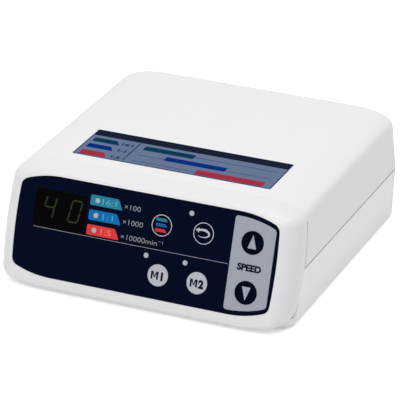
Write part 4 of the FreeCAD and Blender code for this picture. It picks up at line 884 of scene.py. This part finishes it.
# Dark strip of painted shadow round the covers' parting line, on both sides and round the rear corners
def make_painted_parting_shadows():
    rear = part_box("upper_cover")[1][1]
    for side, hand in (("right", 1), ("left", -1)):
        walk = [(CASING_SIDE, SEAM_Y, 1.0, 0.0)]
        for number in range(REAR_STEPS + 1):
            turn = math.pi / 2 * number / REAR_STEPS
            out = (math.cos(turn), math.sin(turn))
            walk.append((CASING_SIDE - REAR_CORNER * (1 - out[0]), rear - REAR_CORNER * (1 - out[1]), *out))
        walk.append((REAR_OPENING, rear, 0.0, 1.0))
        sections = []
        for x, y, out_x, out_y in walk:
            sections.append([(hand * (x + out_x * reach), y + out_y * reach, PARTING_HEIGHT + rise)
                             for reach, rise in ((LINE_PROUD, -PARTING_HALF), (LINE_PROUD, PARTING_HALF),
                                                 (-LINE_SINK, PARTING_HALF), (-LINE_SINK, -PARTING_HALF))])
        swept("painted_parting_shadow_" + side, sections, "painted_parting_shadow")


def bezel_edge():
    """Outermost points of the bezel's rear edge over the parting line, from below upwards."""
    edge = set()
    for spot in spots("front_bezel"):
        seam = SEAM_Y + SEAM_LEAN_HIGH * (spot.z - PARTING_HEIGHT)
        beside = spot.x > HIGH_LINE_SIDE and PARTING_HEIGHT - HEIGHT_SLACK < spot.z < HIGH_LINE_TOP
        if beside and abs(spot.y - seam) < SEAM_SLACK:
            edge.add(tuple(round(value, 6) for value in spot))
    return sorted(edge, key=lambda spot: spot[2])


def seam_section(hand, x, y, z, proud, front, back):
    """Four corners at one height, from proud of the wall to sunk in it, and from front to back."""
    return [(hand * (x + reach), y + along, z) for reach, along in
            ((proud, front), (proud, back), (-LINE_SINK, back), (-LINE_SINK, front))]


# Painted shadow along the seams: a thin grey strip on the lower cover under the parting line, and one on the
# bezel's proud rear edge over it
def make_painted_seam_shadows():
    low_x, low_y = CASING_SIDE - LOWER_DRAFT * LOW_LINE_DROP, SEAM_Y - SEAM_LEAN_LOW * LOW_LINE_DROP
    low_run = [(CASING_SIDE, SEAM_Y, PARTING_HEIGHT), (low_x, low_y, PARTING_HEIGHT - LOW_LINE_DROP)]
    high_run = bezel_edge()
    for side, hand in (("right", 1), ("left", -1)):
        low = [seam_section(hand, *spot, LINE_PROUD, 0, LOW_LINE_WIDTH) for spot in low_run]
        high = [seam_section(hand, *spot, HIGH_LINE_PROUD, -HIGH_LINE_WIDTH, 0) for spot in high_run]
        swept("painted_seam_shadow_low_" + side, low, "seam")
        swept("painted_seam_shadow_high_" + side, high, "seam")


make_painted_parting_shadows()
make_painted_seam_shadows()


# Stage: pale floor, soft lamps and the camera, in metres

FLOOR_SIZE = 12.0
FLOOR_DROP = 0.0002
FLOOR_COLOUR = (0.92, 0.92, 0.92, 1)
FLOOR_GLOW = 0.40               # lightens the shadow, which the photo hardly shows
WHITE_LIGHT = (1, 1, 1, 1)
WORLD_LOW = 0.42                # light from the horizon and from above
WORLD_HIGH = 0.80
WORLD_TOP = 0.8                 # sine of the height from which the light is full
WORLD_SIDE = 0.37               # less light from left and right
LAMP_AIM = (0, 0, 0.03)
LAMPS = {"key_lamp": ((0.0, -1.0, 1.5), 1.0, 9.0), "top_lamp": ((0.2, 0.3, 1.6), 1.2, 6.0)}

# The camera was found by fitting the casing's edges in the photo
CAMERA_PLACE = Vector((503.6, -1183.9, 622.2)) * MM
CAMERA_AZIMUTH = math.radians(23.14)
CAMERA_ELEVATION = math.radians(25.0)
CAMERA_ROLL = math.radians(-0.44)
CAMERA_LENS = 264.9             # in millimetres, as is the width of the sensor
CAMERA_SENSOR = 36.0
CAMERA_NEAR = 0.05
CAMERA_FAR = 50


def shown_rays(nodes, links):
    """1 for the rays that see the background: from the camera, or off and through shiny surfaces."""
    path = nodes.new("ShaderNodeLightPath")
    total = path.outputs["Is Camera Ray"]
    for kind in ("Is Glossy Ray", "Is Transmission Ray"):
        add = math_node(nodes, "ADD")
        add.use_clamp = True
        links.new(total, add.inputs[0])
        links.new(path.outputs[kind], add.inputs[1])
        total = add.outputs[0]
    return total


def make_floor():
    material = bpy.data.materials.new("pale_floor")
    material.use_nodes = True
    nodes, links = material.node_tree.nodes, material.node_tree.links
    shader = nodes["Principled BSDF"]
    shader.inputs["Base Color"].default_value = FLOOR_COLOUR
    shader.inputs["Roughness"].default_value = 0.9
    shader.inputs["Specular IOR Level"].default_value = 0.0
    glow = nodes.new("ShaderNodeEmission")
    glow.inputs["Color"].default_value = WHITE_LIGHT
    amount = math_node(nodes, "MULTIPLY", None, FLOOR_GLOW)
    links.new(shown_rays(nodes, links), amount.inputs[0])
    links.new(amount.outputs[0], glow.inputs["Strength"])
    both = nodes.new("ShaderNodeAddShader")
    links.new(shader.outputs[0], both.inputs[0])
    links.new(glow.outputs[0], both.inputs[1])
    links.new(both.outputs[0], nodes["Material Output"].inputs["Surface"])
    shape = bmesh.new()
    bmesh.ops.create_grid(shape, x_segments=1, y_segments=1, size=FLOOR_SIZE / 2)
    bmesh.ops.translate(shape, verts=shape.verts, vec=(0, 0, -FLOOR_DROP))
    mesh = mesh_from(shape, "floor")
    mesh.materials.append(material)
    floor = add_object("floor", mesh)


def make_world():
    """Soft studio light: paler from above than from the sides."""
    world = bpy.data.worlds.new("studio")
    bpy.context.scene.world = world
    world.use_nodes = True
    nodes, links = world.node_tree.nodes, world.node_tree.links
    background = nodes["Background"]
    direction = nodes.new("ShaderNodeTexCoord")
    split = nodes.new("ShaderNodeSeparateXYZ")
    links.new(direction.outputs["Generated"], split.inputs[0])
    rise = nodes.new("ShaderNodeMapRange")
    rise.inputs["From Min"].default_value = 0.0
    rise.inputs["From Max"].default_value = WORLD_TOP
    rise.inputs["To Min"].default_value = WORLD_LOW
    rise.inputs["To Max"].default_value = WORLD_HIGH
    links.new(split.outputs["Z"], rise.inputs["Value"])
    sideways = math_node(nodes, "MULTIPLY")
    links.new(split.outputs["X"], sideways.inputs[0])
    links.new(split.outputs["X"], sideways.inputs[1])
    strength = math_node(nodes, "MULTIPLY_ADD", None, -WORLD_SIDE)
    links.new(sideways.outputs[0], strength.inputs[0])
    links.new(rise.outputs["Result"], strength.inputs[2])
    seen = nodes.new("ShaderNodeMix")
    seen.data_type = "FLOAT"
    seen.inputs[3].default_value = 1.0
    links.new(shown_rays(nodes, links), seen.inputs[0])
    links.new(strength.outputs[0], seen.inputs[2])
    links.new(seen.outputs[0], background.inputs["Strength"])
    background.inputs["Color"].default_value = WHITE_LIGHT


def make_lamp(name, place, size, power):
    light = bpy.data.lights.new(name, "AREA")
    light.shape = "DISK"
    light.size = size
    light.energy = power
    lamp = add_object(name, light)
    lamp.location = place
    lamp.rotation_euler = (Vector(LAMP_AIM) - Vector(place)).to_track_quat("-Z", "Y").to_euler()
    lamp.visible_camera = False


def make_camera():
    camera = bpy.data.cameras.new("camera")
    camera.lens = CAMERA_LENS
    camera.sensor_width = CAMERA_SENSOR
    camera.clip_start = CAMERA_NEAR
    camera.clip_end = CAMERA_FAR
    right = Vector((math.cos(CAMERA_AZIMUTH), math.sin(CAMERA_AZIMUTH), 0))
    ahead = Vector((-math.sin(CAMERA_AZIMUTH) * math.cos(CAMERA_ELEVATION),
                    math.cos(CAMERA_AZIMUTH) * math.cos(CAMERA_ELEVATION), -math.sin(CAMERA_ELEVATION)))
    up = right.cross(ahead)
    turn = Matrix.Rotation(CAMERA_ROLL, 3, "Z")
    axes = Matrix((right, up, -ahead)).transposed()
    seen = add_object("camera", camera)
    seen.matrix_world = Matrix.Translation(CAMERA_PLACE) @ (axes @ turn.inverted()).to_4x4()
    bpy.context.scene.camera = seen


make_floor()
make_world()
for name, (place, size, power) in LAMPS.items():
    make_lamp(name, place, size, power)
make_camera()

bpy.context.scene.view_settings.view_transform = "Standard"
